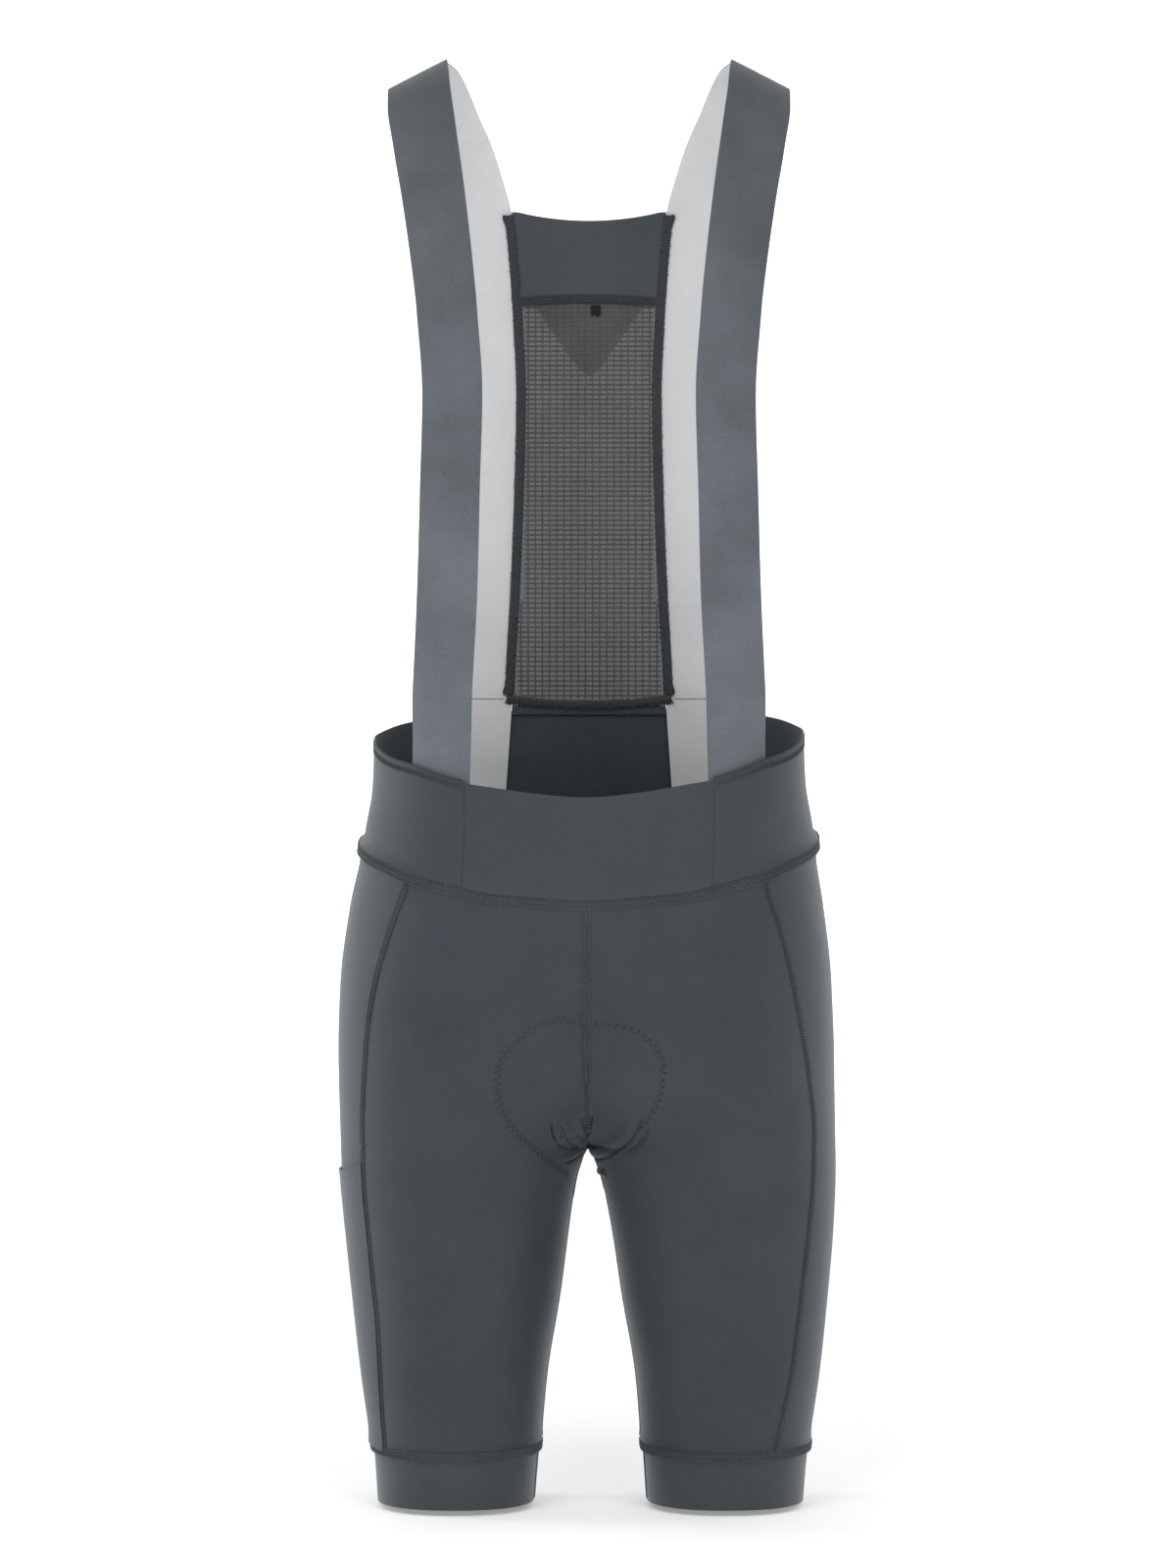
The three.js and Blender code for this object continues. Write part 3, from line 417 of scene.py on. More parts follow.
def skin(side, way, height, lift=0.0):
    """Points on the cloth's outer face and the directions outwards, for arrays of any shape."""
    way, height = np.broadcast_arrays(np.asarray(way, float), np.asarray(height, float))
    flat_way, flat_height = way.ravel(), height.ravel()
    x, y = place_at(flat_way, flat_height)
    outward = outward_at(x, y, flat_height)
    rise, shift = relief_at(x * side, y, flat_way, flat_height)
    points = np.stack([x, y, flat_height], -1) + outward * np.reshape(lift + rise, (-1, 1))
    points[:, 0] *= side
    points[:, 2] += points[:, 0] * read(HITCH, "rise", flat_height) / HITCH_REACH
    points[:, 0] += read(LEAN, "x", flat_height)
    points[:, [0, 2]] += shift
    outward[:, 0] *= side
    return points.reshape(*way.shape, 3), outward.reshape(*way.shape, 3)


# %% [markdown]
# ## Walls
# Cloth has two faces and an edge. A wall joins a grid of outer points to the same grid moved in by the
# cloth's thickness, so edges and openings show real cloth. Its UV map holds lengths in metres, which
# lets a knit or a weave keep its real size anywhere on the garment.

# %% Walls
def make_mesh(name, vertices, faces, materials, slots=None, uv=None, sharp=math.radians(40)):
    mesh = bpy.data.meshes.new(name)
    mesh.from_pydata(vertices.tolist(), [], faces)
    for material in materials:
        mesh.materials.append(material)
    if slots is not None:
        mesh.polygons.foreach_set("material_index", np.asarray(slots, np.int32))
    if uv is not None:
        corners = np.empty(len(mesh.loops), np.int32)
        mesh.loops.foreach_get("vertex_index", corners)
        mesh.uv_layers.new(name="UVMap").data.foreach_set("uv", uv[corners].astype(np.float32).ravel())
    mesh.update()
    mesh.polygons.foreach_set("use_smooth", np.ones(len(mesh.polygons), bool))
    mesh.set_sharp_from_angle(angle=sharp)
    piece = bpy.data.objects.new(name, mesh)
    bpy.context.scene.collection.objects.link(piece)
    return piece


def wall_faces(rows, columns, ringed):
    """Quads of the outer face, the inner face and the rim of a grid, as three lists."""
    count = rows * columns
    cells = columns if ringed else columns - 1
    j, i = np.meshgrid(np.arange(rows - 1), np.arange(cells), indexing="ij")
    j, i = j.ravel(), i.ravel()
    k = (i + 1) % columns
    outer = np.stack([j * columns + i, j * columns + k, (j + 1) * columns + k, (j + 1) * columns + i], 1)
    inner = outer[:, ::-1] + count
    rim = []
    for row, turn in ((0, False), (rows - 1, True)):
        a = row * columns + np.arange(cells)
        b = row * columns + (np.arange(cells) + 1) % columns
        quad = np.stack([a, a + count, b + count, b], 1)
        rim.append(quad[:, ::-1] if turn else quad)
    if not ringed:
        for column, turn in ((0, True), (columns - 1, False)):
            a = np.arange(rows - 1) * columns + column
            b = a + columns
            quad = np.stack([a, a + count, b + count, b], 1)
            rim.append(quad[:, ::-1] if turn else quad)
    return outer, inner, np.concatenate(rim)


GRIDS = {}


def wall(name, outer, inner, materials, ringed=False, slots=(0, 0, 0)):
    """A closed wall between two grids of points in millimetres."""
    GRIDS[name] = outer
    rows, columns = outer.shape[:2]
    vertices = to_frame(np.concatenate([outer.reshape(-1, 3), inner.reshape(-1, 3)]))
    parts = wall_faces(rows, columns, ringed)
    faces = np.concatenate(parts)
    a, b, c, d = (vertices[faces[:, k]] for k in range(4))
    volume = (np.cross(b - a, c - a) * a).sum() + (np.cross(c - a, d - a) * a).sum()
    if volume < 0:
        faces = faces[:, ::-1]
    slot = np.repeat(slots, [len(part) for part in parts])
    uv = np.stack([lengths_along(outer, 1), lengths_along(outer, 0)], -1).reshape(-1, 2) / 1000
    return make_mesh(name, vertices, faces.tolist(), materials, slot, np.concatenate([uv, uv]))


def adopt(piece, slot, *nodes):
    """Makes a piece stand for its nodes of the frame, riding with them."""
    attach(piece, "root")
    if nodes:
        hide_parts(*nodes)
    triangles = sum(len(p.vertices) - 2 for p in piece.data.polygons)
    print(f"{piece.name}: {triangles} triangles")
    return piece


# %% [markdown]
# ## Finishes
# Warp-knit stretch cloth is nearly matt, with a soft bloom of light where it turns away: its fibres
# stand off the surface. Sheen on the shader gives that bloom, a fine wave the knit's ribs, and slow
# noise the uneven dye. Uniform numbers sit on the shader itself.

# %% Finishes
DYE_SIZE, SPECK_SIZE, FIBRE_SIZE = 0.05, 0.0016, 0.0011


def finish_tree(name):
    material = bpy.data.materials.new(name)
    material.use_nodes = True
    tree = material.node_tree
    shader = tree.nodes["Principled BSDF"]
    return material, tree, shader


def add_node(tree, kind, values=None, **settings):
    node = tree.nodes.new(kind)
    for key, value in settings.items():
        setattr(node, key, value)
    for key, value in (values or {}).items():
        node.inputs[key].default_value = value
    return node


def mottle(tree, colour, spread, scale, speck):
    """A colour that wavers slowly at a size in metres, and from fibre to fibre at a finer one."""
    where = add_node(tree, "ShaderNodeTexCoord")
    slow = add_node(tree, "ShaderNodeTexNoise", {"Scale": 1 / scale, "Detail": 3.0, "Roughness": 0.55})
    fine = add_node(tree, "ShaderNodeTexNoise", {"Scale": 1 / speck, "Detail": 1.0})
    both = add_node(tree, "ShaderNodeMath", {1: 0.5}, operation="MULTIPLY_ADD")
    shades = add_node(tree, "ShaderNodeValToRGB")
    low, high = shades.color_ramp.elements
    low.position, high.position = 0.5, 1.0
    low.color = (*[c * (1 - spread) for c in colour], 1)
    high.color = (*[c * (1 + spread) for c in colour], 1)
    tree.links.new(where.outputs["Object"], slow.inputs["Vector"])
    tree.links.new(where.outputs["Object"], fine.inputs["Vector"])
    tree.links.new(fine.outputs["Fac"], both.inputs[0])
    tree.links.new(slow.outputs["Fac"], both.inputs[2])
    tree.links.new(both.outputs[0], shades.inputs["Fac"])
    return where, shades.outputs["Color"]


def ribs(tree, where, across, along, fibre):
    """The height of a knit: ribs across and courses along, in metres, with a little loose fibre."""
    total = None
    for size, direction in ((across, "X"), (along, "Y")):
        wave = add_node(tree, "ShaderNodeTexWave", {"Scale": 0.3142 / size}, bands_direction=direction)
        tree.links.new(where.outputs["UV"], wave.inputs["Vector"])
        if total is None:
            total = wave.outputs["Fac"]
            continue
        both = add_node(tree, "ShaderNodeMath", operation="MULTIPLY")
        tree.links.new(total, both.inputs[0])
        tree.links.new(wave.outputs["Fac"], both.inputs[1])
        total = both.outputs[0]
    fuzz = add_node(tree, "ShaderNodeTexNoise", {"Scale": 1 / fibre, "Detail": 2.0})
    tree.links.new(where.outputs["Object"], fuzz.inputs["Vector"])
    mixed = add_node(tree, "ShaderNodeMath", {2: 0.0}, operation="ADD")
    tree.links.new(total, mixed.inputs[0])
    tree.links.new(fuzz.outputs["Fac"], mixed.inputs[1])
    return mixed.outputs[0]


def cloth_finish(name, colour, spread, roughness, sheen, knit, depth):
    material, tree, shader = finish_tree(name)
    where, shade = mottle(tree, colour, spread, DYE_SIZE, SPECK_SIZE)
    tree.links.new(shade, shader.inputs["Base Color"])
    shader.inputs["Roughness"].default_value = roughness
    shader.inputs["Specular IOR Level"].default_value = 0.35
    shader.inputs["Sheen Weight"].default_value = sheen
    shader.inputs["Sheen Roughness"].default_value = 0.45
    shader.inputs["Sheen Tint"].default_value = (0.86, 0.93, 1.0, 1)
    relief = add_node(tree, "ShaderNodeBump", {"Strength": 0.6, "Distance": depth / 1000})
    height = ribs(tree, where, knit[0] / 1000, knit[1] / 1000, FIBRE_SIZE)
    tree.links.new(height, relief.inputs["Height"])
    tree.links.new(relief.outputs["Normal"], shader.inputs["Normal"])
    return material


def paint_shade_by_height(material, low, high, low_gain, high_gain):
    """Paints shade into a finish's colour: scales it with the height, from one level in metres to another."""
    tree = material.node_tree
    base = tree.nodes["Principled BSDF"].inputs["Base Color"]
    colour = base.links[0].from_socket
    where = add_node(tree, "ShaderNodeTexCoord")
    parts = add_node(tree, "ShaderNodeSeparateXYZ")
    gain = add_node(tree, "ShaderNodeMapRange", {1: low, 2: high, 3: low_gain, 4: high_gain})
    scaled = add_node(tree, "ShaderNodeVectorMath", operation="SCALE")
    tree.links.new(where.outputs["Object"], parts.inputs[0])
    tree.links.new(parts.outputs["Z"], gain.inputs["Value"])
    tree.links.new(colour, scaled.inputs[0])
    tree.links.new(gain.outputs[0], scaled.inputs["Scale"])
    tree.links.new(scaled.outputs[0], base)


LYCRA_CLOTH = cloth_finish("lycra_cloth", (0.027, 0.0355, 0.043), 0.14, 0.56, 0.23, (0.9, 0.9), 0.12)
LYCRA_INSIDE = cloth_finish("lycra_inside", (0.036, 0.045, 0.052), 0.12, 0.75, 0.2, (0.9, 0.9), 0.12)
BAND_CLOTH = cloth_finish("band_cloth", (0.03, 0.039, 0.046), 0.12, 0.58, 0.22, (0.8, 0.8), 0.1)
CUFF_CLOTH = cloth_finish("cuff_cloth", (0.033, 0.041, 0.047), 0.14, 0.54, 0.27, (0.8, 0.8), 0.1)
STRAP_OUTSIDE = cloth_finish("strap_outside", (0.1, 0.115, 0.13), 0.2, 0.55, 0.06, (1.2, 0.9), 0.14)
STRAP_INSIDE = cloth_finish("strap_inside", (0.6, 0.61, 0.625), 0.05, 0.65, 0.1, (1.2, 1.4), 0.12)
# Painted shade: the strap's outside darkens towards the shoulder, where it turns away from the lamps, and
# lightens low down.
paint_shade_by_height(STRAP_OUTSIDE, -0.5, 0.0, 1.14, 0.64)
# Painted light: the inner yoke is the leg cloth made lighter to offset the shade it sits in.
YOKE_PAINTED_LIGHT = cloth_finish("yoke_cloth_painted_light", (0.036, 0.046, 0.053), 0.12, 0.56, 0.23, (0.9, 0.9), 0.12)
SEAM_THREAD = cloth_finish("seam_thread", (0.056, 0.065, 0.073), 0.25, 0.7, 0.2, (0.5, 0.5), 0.05)
EDGE_THREAD = cloth_finish("edge_thread", (0.034, 0.038, 0.042), 0.2, 0.75, 0.3, (0.5, 0.5), 0.05)
DARK_THREAD = cloth_finish("dark_thread", (0.02, 0.023, 0.026), 0.2, 0.75, 0.2, (0.5, 0.5), 0.05)
LIGHT_THREAD = cloth_finish("light_thread", (0.13, 0.14, 0.15), 0.15, 0.7, 0.3, (0.5, 0.5), 0.05)
PALE_THREAD = cloth_finish("pale_thread", (0.42, 0.45, 0.47), 0.2, 0.7, 0.2, (0.5, 0.5), 0.05)
PAD_THREAD = cloth_finish("pad_thread", (0.024, 0.03, 0.035), 0.2, 0.7, 0.2, (0.5, 0.5), 0.05)
PAD_CLOTH = cloth_finish("pad_cloth", (0.27, 0.29, 0.31), 0.06, 0.85, 0.4, (1.5, 1.5), 0.3)
NET_THREAD = cloth_finish("net_thread", (0.06, 0.056, 0.054), 0.15, 0.75, 0.2, (0.6, 0.6), 0.05)
print("finishes:", len(bpy.data.materials))

# %% [markdown]
# ## Leg panels
# Each leg has a front, a side and a back panel. Their rows crowd together at the crotch, where the skin
# bends hardest, and their ends follow the curved waist and cuff seams exactly.

# %% Leg panels
COLUMNS = {"front": 144, "side": 30, "back": 72}
ROWS = {"front": (96, 96), "side": (50, 60), "back": (60, 70)}
HEIGHTS = np.arange(0.0, 521.0, 2.0)
SIDE_FRONT_WAY = {
    -1: way_at_x(read(SIDE_FRONT, "right", HEIGHTS), HEIGHTS),
    1: way_at_x(read(SIDE_FRONT, "left", HEIGHTS), HEIGHTS),
}
SIDE_BACK_WAY = way_at_x(read(SIDE_BACK, "x", HEIGHTS), HEIGHTS, on_back=True)
ROUND_LENGTH = outline_at(HEIGHTS)[2][:, -1]
CUFF_GUESS, WAIST_GUESS, BAND_MIDDLE = 40.0, 430.0, 450.0
CROWDING = {"front": 1.3, "back": 1.2, "leg rows": 1.5, "seat rows": 1.8, "fading": 1.5}


def side_front_way(side, height):
    return np.interp(height, HEIGHTS, SIDE_FRONT_WAY[side])


def side_back_way(height):
    return np.interp(height, HEIGHTS, SIDE_BACK_WAY)


def round_length(height):
    return np.interp(height, HEIGHTS, ROUND_LENGTH)


def panel_plan(side, name):
    """Where a panel's columns lie, its two seams as functions of height, and the edge at the crotch."""
    if name == "front":
        return {
            "shares": np.linspace(0, 1, COLUMNS[name] + 1) ** CROWDING["front"],
            "start": lambda height: 0 * height,
            "end": lambda height: side_front_way(side, height),
            "crowded": 0,
        }
    if name == "side":
        return {
            "shares": np.linspace(0, 1, COLUMNS[name] + 1),
            "start": lambda height: side_front_way(side, height),
            "end": side_back_way,
            "crowded": None,
        }
    return {
        "shares": 1 - np.linspace(1, 0, COLUMNS[name] + 1) ** CROWDING["back"],
        "start": side_back_way,
        "end": lambda height: 0 * height + 1,
        "crowded": 1,
    }


def panel_way(plan, share, height):
    gap = SEAM_GAP / 2 / round_length(height)
    return blend(plan["start"](height) + gap, plan["end"](height) - gap, share)


def meet_edge(plan, share, edge, guess):
    """The heights at which a panel's columns meet a curved seam, closed in on from a guess."""
    height = np.full_like(share, guess)
    for _ in range(8):
        height = edge(panel_way(plan, share, height))
    return height


def panel_grid(side, name):
    """The ways round and heights of a panel's fine grid."""
    plan = panel_plan(side, name)
    share = plan["shares"]
    top = meet_edge(plan, share, lambda way: waist_seam(way) - SEAM_GAP / 2, WAIST_GUESS)
    bottom = meet_edge(plan, share, lambda way: cuff_seam(way) + SEAM_GAP / 2, CUFF_GUESS)
    leg_rows, seat_rows = ROWS[name]
    row = np.arange(leg_rows + seat_rows + 1)[:, None]
    height = blend(bottom, top, row / (leg_rows + seat_rows))
    if plan["crowded"] is not None:
        down = np.clip(1 - row / leg_rows, 0, 1) ** CROWDING["leg rows"]
        up = np.clip((row - leg_rows) / seat_rows, 0, 1) ** CROWDING["seat rows"]
        low = CROTCH_HEIGHT - (CROTCH_HEIGHT - bottom) * down
        high = CROTCH_HEIGHT + (top - CROTCH_HEIGHT) * up
        crowded = np.where(row <= leg_rows, low, high)
        height = blend(height, crowded, (1 - np.abs(share - plan["crowded"])) ** CROWDING["fading"])
    return panel_way(plan, share[None, :], height), height


def leg_panel(side, name):
    way, height = panel_grid(side, name)
    outer, outward = skin(side, way, height)
    where = "right" if side < 0 else "left"
    faces = [LYCRA_CLOTH, LYCRA_INSIDE]
    piece = wall(f"{name}_panel_{where}", outer, outer - outward * LYCRA, faces, slots=(0, 1, 0))
    return adopt(piece, "lycra", f"leg_{name}_{where}")


pieces = {}
for side, where in ((-1, "right"), (1, "left")):
    for name in ("front", "side", "back"):
        pieces[f"{name}_{where}"] = leg_panel(side, name)

# %% [markdown]
# ## Side pocket
# The pocket is a second layer of the leg cloth, caught in the same seams as the side panel and open on
# top. Modelled apart it could cut into the panel, so it is the panel's own grid, moved out, with a
# slightly thicker lip where the real edge is turned in.

# %% Side pocket
POCKET, POCKET_LIP, POCKET_ROWS = 1.0, 0.5, 50
POCKET_OPENING = table("share height", (0, 232), (0.25, 225), (0.5, 224), (1, 231))


def side_pocket():
    """The lower part of the right side panel again, moved out, with its open edge on top."""
    plan = panel_plan(-1, "side")
    share = plan["shares"]
    bottom = meet_edge(plan, share, lambda way: cuff_seam(way) + SEAM_GAP / 2, CUFF_GUESS)
    rise = np.linspace(0, 1, POCKET_ROWS + 1)[:, None]
    height = blend(bottom, read(POCKET_OPENING, "height", share), rise)
    lip = POCKET_LIP * bump(rise - 1, 0.02)
    outer, outward = skin(-1, panel_way(plan, share[None, :], height), height, POCKET + LAYER_GAP)
    outer = outer + outward * lip[..., None]
    return wall("pocket_right", outer, outer - outward * (POCKET + lip[..., None]), [LYCRA_CLOTH])


pieces["pocket"] = adopt(side_pocket(), "lycra", "side_pocket")

# %% [markdown]
# ## Cuffs and waistband
# The cuffs are closed rings of a firmer knit. The waistband is two pieces: a centre panel with a folded
# top edge between the straps, and a wrap round the sides and back with a stitched hem. Their columns are
# the panels' own, so every seam meets.

# %% Cuffs
CUFF_ROWS, BAND_ROWS = 15, 20


def ways_along(side, edge, guess):
    """All three panels' columns as ways round a sewn edge."""
    ways = []
    for name in ("front", "side", "back"):
        plan = panel_plan(side, name)
        share = plan["shares"][:-1]
        height = np.full_like(share, guess)
        for _ in range(8):
            height = edge(blend(plan["start"](height), plan["end"](height), share))
        ways.append(blend(plan["start"](height), plan["end"](height), share))
    return np.append(np.concatenate(ways), 1.0)


def cuff(side):
    where = "right" if side < 0 else "left"
    ways = ways_along(side, cuff_seam, CUFF_GUESS)[:-1]
    rise = np.linspace(0, 1, CUFF_ROWS + 1)[:, None]
    height = rise * (cuff_seam(ways) - SEAM_GAP / 2)
    outer, outward = skin(side, ways + 0 * height, height, -CUFF_INSET)
    faces = [CUFF_CLOTH, LYCRA_INSIDE]
    piece = wall(f"cuff_{where}", outer, outer - outward * CUFF, faces, ringed=True, slots=(0, 1, 0))
    return adopt(piece, "cuff", f"leg_cuff_{where}")


for side, where in ((-1, "right"), (1, "left")):
    pieces[f"cuff_{where}"] = cuff(side)

# %% Waistband
SPLIT_REACH = 0.25
SPLIT_WAY = float(way_at_x(BAND_SPLIT_X, BAND_MIDDLE)[0])
SPLIT_GAP = SEAM_GAP / 2 / float(round_length(BAND_MIDDLE))
FOLD_SHARE = 0.7


def upright_way(ways, height):
    """Moves the columns beside the join round with the height, so that the join stands upright."""
    start = folded(ways) + 0 * height
    beyond = np.maximum(1 - (start - SPLIT_WAY) / SPLIT_REACH, 0)
    near = np.where(start < SPLIT_WAY, start / SPLIT_WAY, beyond)
    join = way_at_x(BAND_SPLIT_X, height.ravel()).reshape(height.shape)
    moved = start + (join - SPLIT_WAY) * near
    return np.where(ways > 1, 2 - moved, np.where(ways < 0, -moved, moved))


def waistband(name, ways, node, fold, step):
    """A stretch of the band, its top edge rounded over a share of its height and raised by a step."""
    rise = np.linspace(0, 1, BAND_ROWS + 1)[:, None]
    height = BAND_MIDDLE + 0 * rise * ways
    for _ in range(4):
        upright = upright_way(ways, height)
        height = blend(waist_seam(upright) + SEAM_GAP / 2, waist_top(upright) + step, rise)
    outer, outward = skin(1, upright_way(ways, height), height)
    inner = outer - outward * BAND
    edge = outward * (BAND / 2 * ramp(rise, 1 - fold, 1) ** 2)[..., None] * FOLD_SHARE
    piece = wall(name, outer - edge, inner + edge, [BAND_CLOTH, LYCRA_INSIDE], slots=(0, 1, 0))
    return adopt(piece, "band", node)


waist_ways = [ways_along(side, waist_seam, WAIST_GUESS) for side in (-1, 1)]
end = SPLIT_WAY - SPLIT_GAP
right, left = (ways[(ways > 0) & (ways < end)] for ways in waist_ways)
centre_ways = np.concatenate([[-end], -right[::-1], [0.0], left, [end]])
pieces["band_front"] = waistband("waistband_centre", centre_ways, "waistband_front", fold=0.06, step=0.0)
end = SPLIT_WAY + SPLIT_GAP
right, left = (ways[(ways > end) & (ways < 1)] for ways in waist_ways)
wrap_ways = np.concatenate([[end], left, [1.0], 2 - right[::-1], [2 - end]])
pieces["band_back"] = waistband("waistband_wrap", wrap_ways, "waistband_back", fold=0.03, step=WRAP_STEP)

# %% [markdown]
# ## Straps
# Each strap is one wide elastic band from inside the front waistband, over the shoulder and down to the
# back waistband. Its face follows the chest and back, and turns over the shoulder on a rounded curve, so
# it is a grid of stations along the strap and shares across it.

# %% Straps
STRAP_COLUMNS, STRAP_ROWS, OVER_ROWS = 15, 66, 54
STRAP_FRONT_END, STRAP_BACK_END = 458.0, 472.0
FRONT_TUCK_FADES, BACK_TUCK_FADES = (506, 550), (545, 590)


def crest_at(x):
    return CREST_HEIGHT - (np.abs(x) - CREST_X) * CREST_SLOPE


def trunk_y(x, height, on_back):
    """The front or back of the figure above the waist."""
    level = level_at(height)
    face = "back" if on_back else "front"
    mid = level["mid_" + face]
    across = np.maximum((np.hypot(x, CROTCH_FILLET) - mid) / (level["outer"] - mid), 0)
    depth = (1 - across**TORSO_POWER) ** (1 / TORSO_POWER)
    return level["widest"] + (level[face] - level["widest"]) * depth


def tuck_front(height):
    return FRONT_TUCK * (1 - ramp(height, *FRONT_TUCK_FADES))


def tuck_back(height):
    return BACK_TUCK * (1 - ramp(height, *BACK_TUCK_FADES))


def strap_x(tab, at, share):
    return blend(read(tab, "inner", at), read(tab, "outer", at), share)


def strap_run(tab, height, share, on_back):
    x = strap_x(tab, height, share)
    height = height + 0 * x
    return np.stack([x, trunk_y(x, height, on_back), height], -1)


def strap_over(turn, share, on_back):
    x = strap_x(STRAP_OVER, turn, share)
    base = BACK_DOME if on_back else FRONT_DOME
    reach = np.abs(np.cos(np.radians(turn))) ** (2 / DOME_POWER)
    rise = np.sin(np.radians(turn)) ** (2 / DOME_POWER)
    y = SHOULDER_Y + (trunk_y(x, base + 0 * x, on_back) - SHOULDER_Y) * reach
    return np.stack([x, y, base + (crest_at(x) - base) * rise], -1)


def strap_grid():
    """The left strap's outer face from its front end to its back end, tucked in behind the waistband."""
    share = np.linspace(0, 1, STRAP_COLUMNS + 1)[None, :]
    up = np.linspace(STRAP_FRONT_END, FRONT_DOME, STRAP_ROWS + 1)[:, None]
    turns = np.linspace(0, 90, OVER_ROWS + 1)[1:, None]
    down = np.linspace(BACK_DOME, STRAP_BACK_END, STRAP_ROWS + 1)[1:, None]
    points = np.concatenate([
        strap_run(STRAP_FRONT, up, share, False),
        strap_over(turns, share, False),
        strap_over(turns + 90, share, True),
        strap_run(STRAP_BACK, down, share, True),
    ])
    outward = unit(np.cross(np.gradient(points, axis=1), np.gradient(points, axis=0)))
    over = np.zeros((len(turns), 1))
    tuck = np.concatenate([tuck_front(up), over, over, tuck_back(down)])
    return points - outward * tuck[..., None], outward


STRAP_OUTER, STRAP_OUTWARD = strap_grid()


def strap(side):
    where = "right" if side < 0 else "left"
    mirror = np.array([side, 1, 1])
    outer = STRAP_OUTER * mirror
    inner = outer - STRAP_OUTWARD * mirror * STRAP
    piece = wall(f"shoulder_strap_{where}", outer, inner, [STRAP_OUTSIDE, STRAP_INSIDE], slots=(0, 1, 0))
    return adopt(piece, "elastic", f"strap_{where}")


for side, where in ((-1, "right"), (1, "left")):
    pieces[f"strap_{where}"] = strap(side)

# %% [markdown]
# ## Net back and yokes
# Between the straps hang a net and, at the neck, two layers of plain cloth. They all lie on the curve of
# the back, one behind the other, so each is the same sheet at its own lift from that curve.

# %% Net back and yokes
NET_BOTTOM, NET_TOP = 534.0, 862.0
YOKE_TOP = (880.5, 886.5)
YOKE_HEM = (823.0, 820.0)
YOKE_TIP, YOKE_SLOPE, YOKE_ROUND = 772.0, 1.5, 6.0


def back_y(x, height):
    low = trunk_y(x, np.minimum(height, BACK_DOME), True)
    up = np.clip((height - BACK_DOME) / (crest_at(x) - BACK_DOME), 0, 1)
    depth = (1 - up**DOME_POWER) ** (1 / DOME_POWER)
    return np.where(height <= BACK_DOME, low, SHOULDER_Y + (low - SHOULDER_Y) * depth)


def back_spots(x, height, lift):
    """Points on the back and the directions outwards, at a lift from the back's curve."""
    x, height = np.broadcast_arrays(np.asarray(x, float), np.asarray(height, float))
    step = 0.5
    slope_x = (back_y(x + step, height) - back_y(x - step, height)) / (2 * step)
    slope_z = (back_y(x, height + step) - back_y(x, height - step)) / (2 * step)
    outward = unit(np.stack([-slope_x, np.ones_like(x), -slope_z], -1))
    points = np.stack([x, back_y(x, height), height], -1)
    return points + outward * np.reshape(lift - tuck_back(height), (*x.shape, 1)), outward


def strap_inner_at(height):
    up = np.clip((height - BACK_DOME) / (crest_at(CREST_X / 2) - BACK_DOME), 0, 1)
    turn = 180 - np.degrees(np.arcsin(up ** (DOME_POWER / 2)))
    return np.where(height <= BACK_DOME, read(STRAP_BACK, "inner", height), read(STRAP_OVER, "inner", turn))


def curve_to(pair, x):
    return blend(pair[0], pair[1], np.minimum((x / 50) ** 2, 1))


def yoke_hem(x):
    return curve_to(YOKE_HEM, x)


def yoke_top(x):
    return curve_to(YOKE_TOP, x)


def yoke_point(x):
    return YOKE_TIP + YOKE_SLOPE * (np.hypot(x, YOKE_ROUND) - YOKE_ROUND)


def sheet_grid(columns, rows, bottom, top, lift):
    rise = np.linspace(0, 1, rows + 1)[:, None]
    share = np.linspace(-1, 1, columns + 1)[None, :]
    x = np.zeros((rows + 1, columns + 1))
    for _ in range(4):
        height = blend(bottom(x), top(x), rise)
        x = share * (strap_inner_at(height) - SEAM_GAP)
    return back_spots(x, height, lift)


BACK_SHEETS = (
    # piece, node, slot, columns, rows, lower edge, upper edge, lift from the back's curve, thickness
    ("net_panel", "back_mesh", "net", 44, 110, lambda x: NET_BOTTOM, lambda x: NET_TOP, 0.0, NET),
    ("yoke_inner", "back_yoke", "lycra", 44, 30, yoke_hem, yoke_top, -NET - LAYER_GAP, YOKE),
    ("yoke_outer", "back_yoke_outer", "lycra", 44, 40, yoke_point, yoke_top, YOKE + LAYER_GAP, YOKE),
)

NET_CLOTH = cloth_finish("net_cloth", (0.09, 0.096, 0.105), 0.15, 0.75, 0.25, (1.1, 1.1), 0.1)
NET_CLOTH.node_tree.nodes["Principled BSDF"].inputs["Alpha"].default_value = 0.8
NET_EDGE = 7.0
for name, node, slot, columns, rows, bottom, top, lift, thickness in BACK_SHEETS:
    outer, outward = sheet_grid(columns, rows, bottom, top, lift)
    cloth = {"net_panel": NET_CLOTH, "yoke_inner": YOKE_PAINTED_LIGHT}.get(name, LYCRA_CLOTH)
    piece = wall(name, outer, outer - outward * thickness, [cloth, LYCRA_CLOTH])
    if slot == "net":
        edge_z = float(to_frame([0, 0, NET_BOTTOM + NET_EDGE])[2])
        for face in piece.data.polygons:
            face.material_index = int(face.center[2] < edge_z)
    pieces[name] = adopt(piece, slot, node)

# %% [markdown]
# ## Loop tab
# Under the yoke's hem hangs a small tab of folded tape. It is one short wall that swells in the middle,
# where the fold stands off, with its lower edge cut at a slant.

# %% Loop tab
LOOP_LEFT, LOOP_RIGHT, LOOP_TOP, LOOP_LOW = 1.4, 8.2, 820.6, 813.6
LOOP_SLANT, LOOP_NOTCH, LOOP_SWELL = 1.2, 1.6, 0.5
LOOP_TAPE = cloth_finish("loop_tape", (0.003, 0.003, 0.0035), 0.15, 0.8, 0.02, (0.7, 0.7), 0.1)


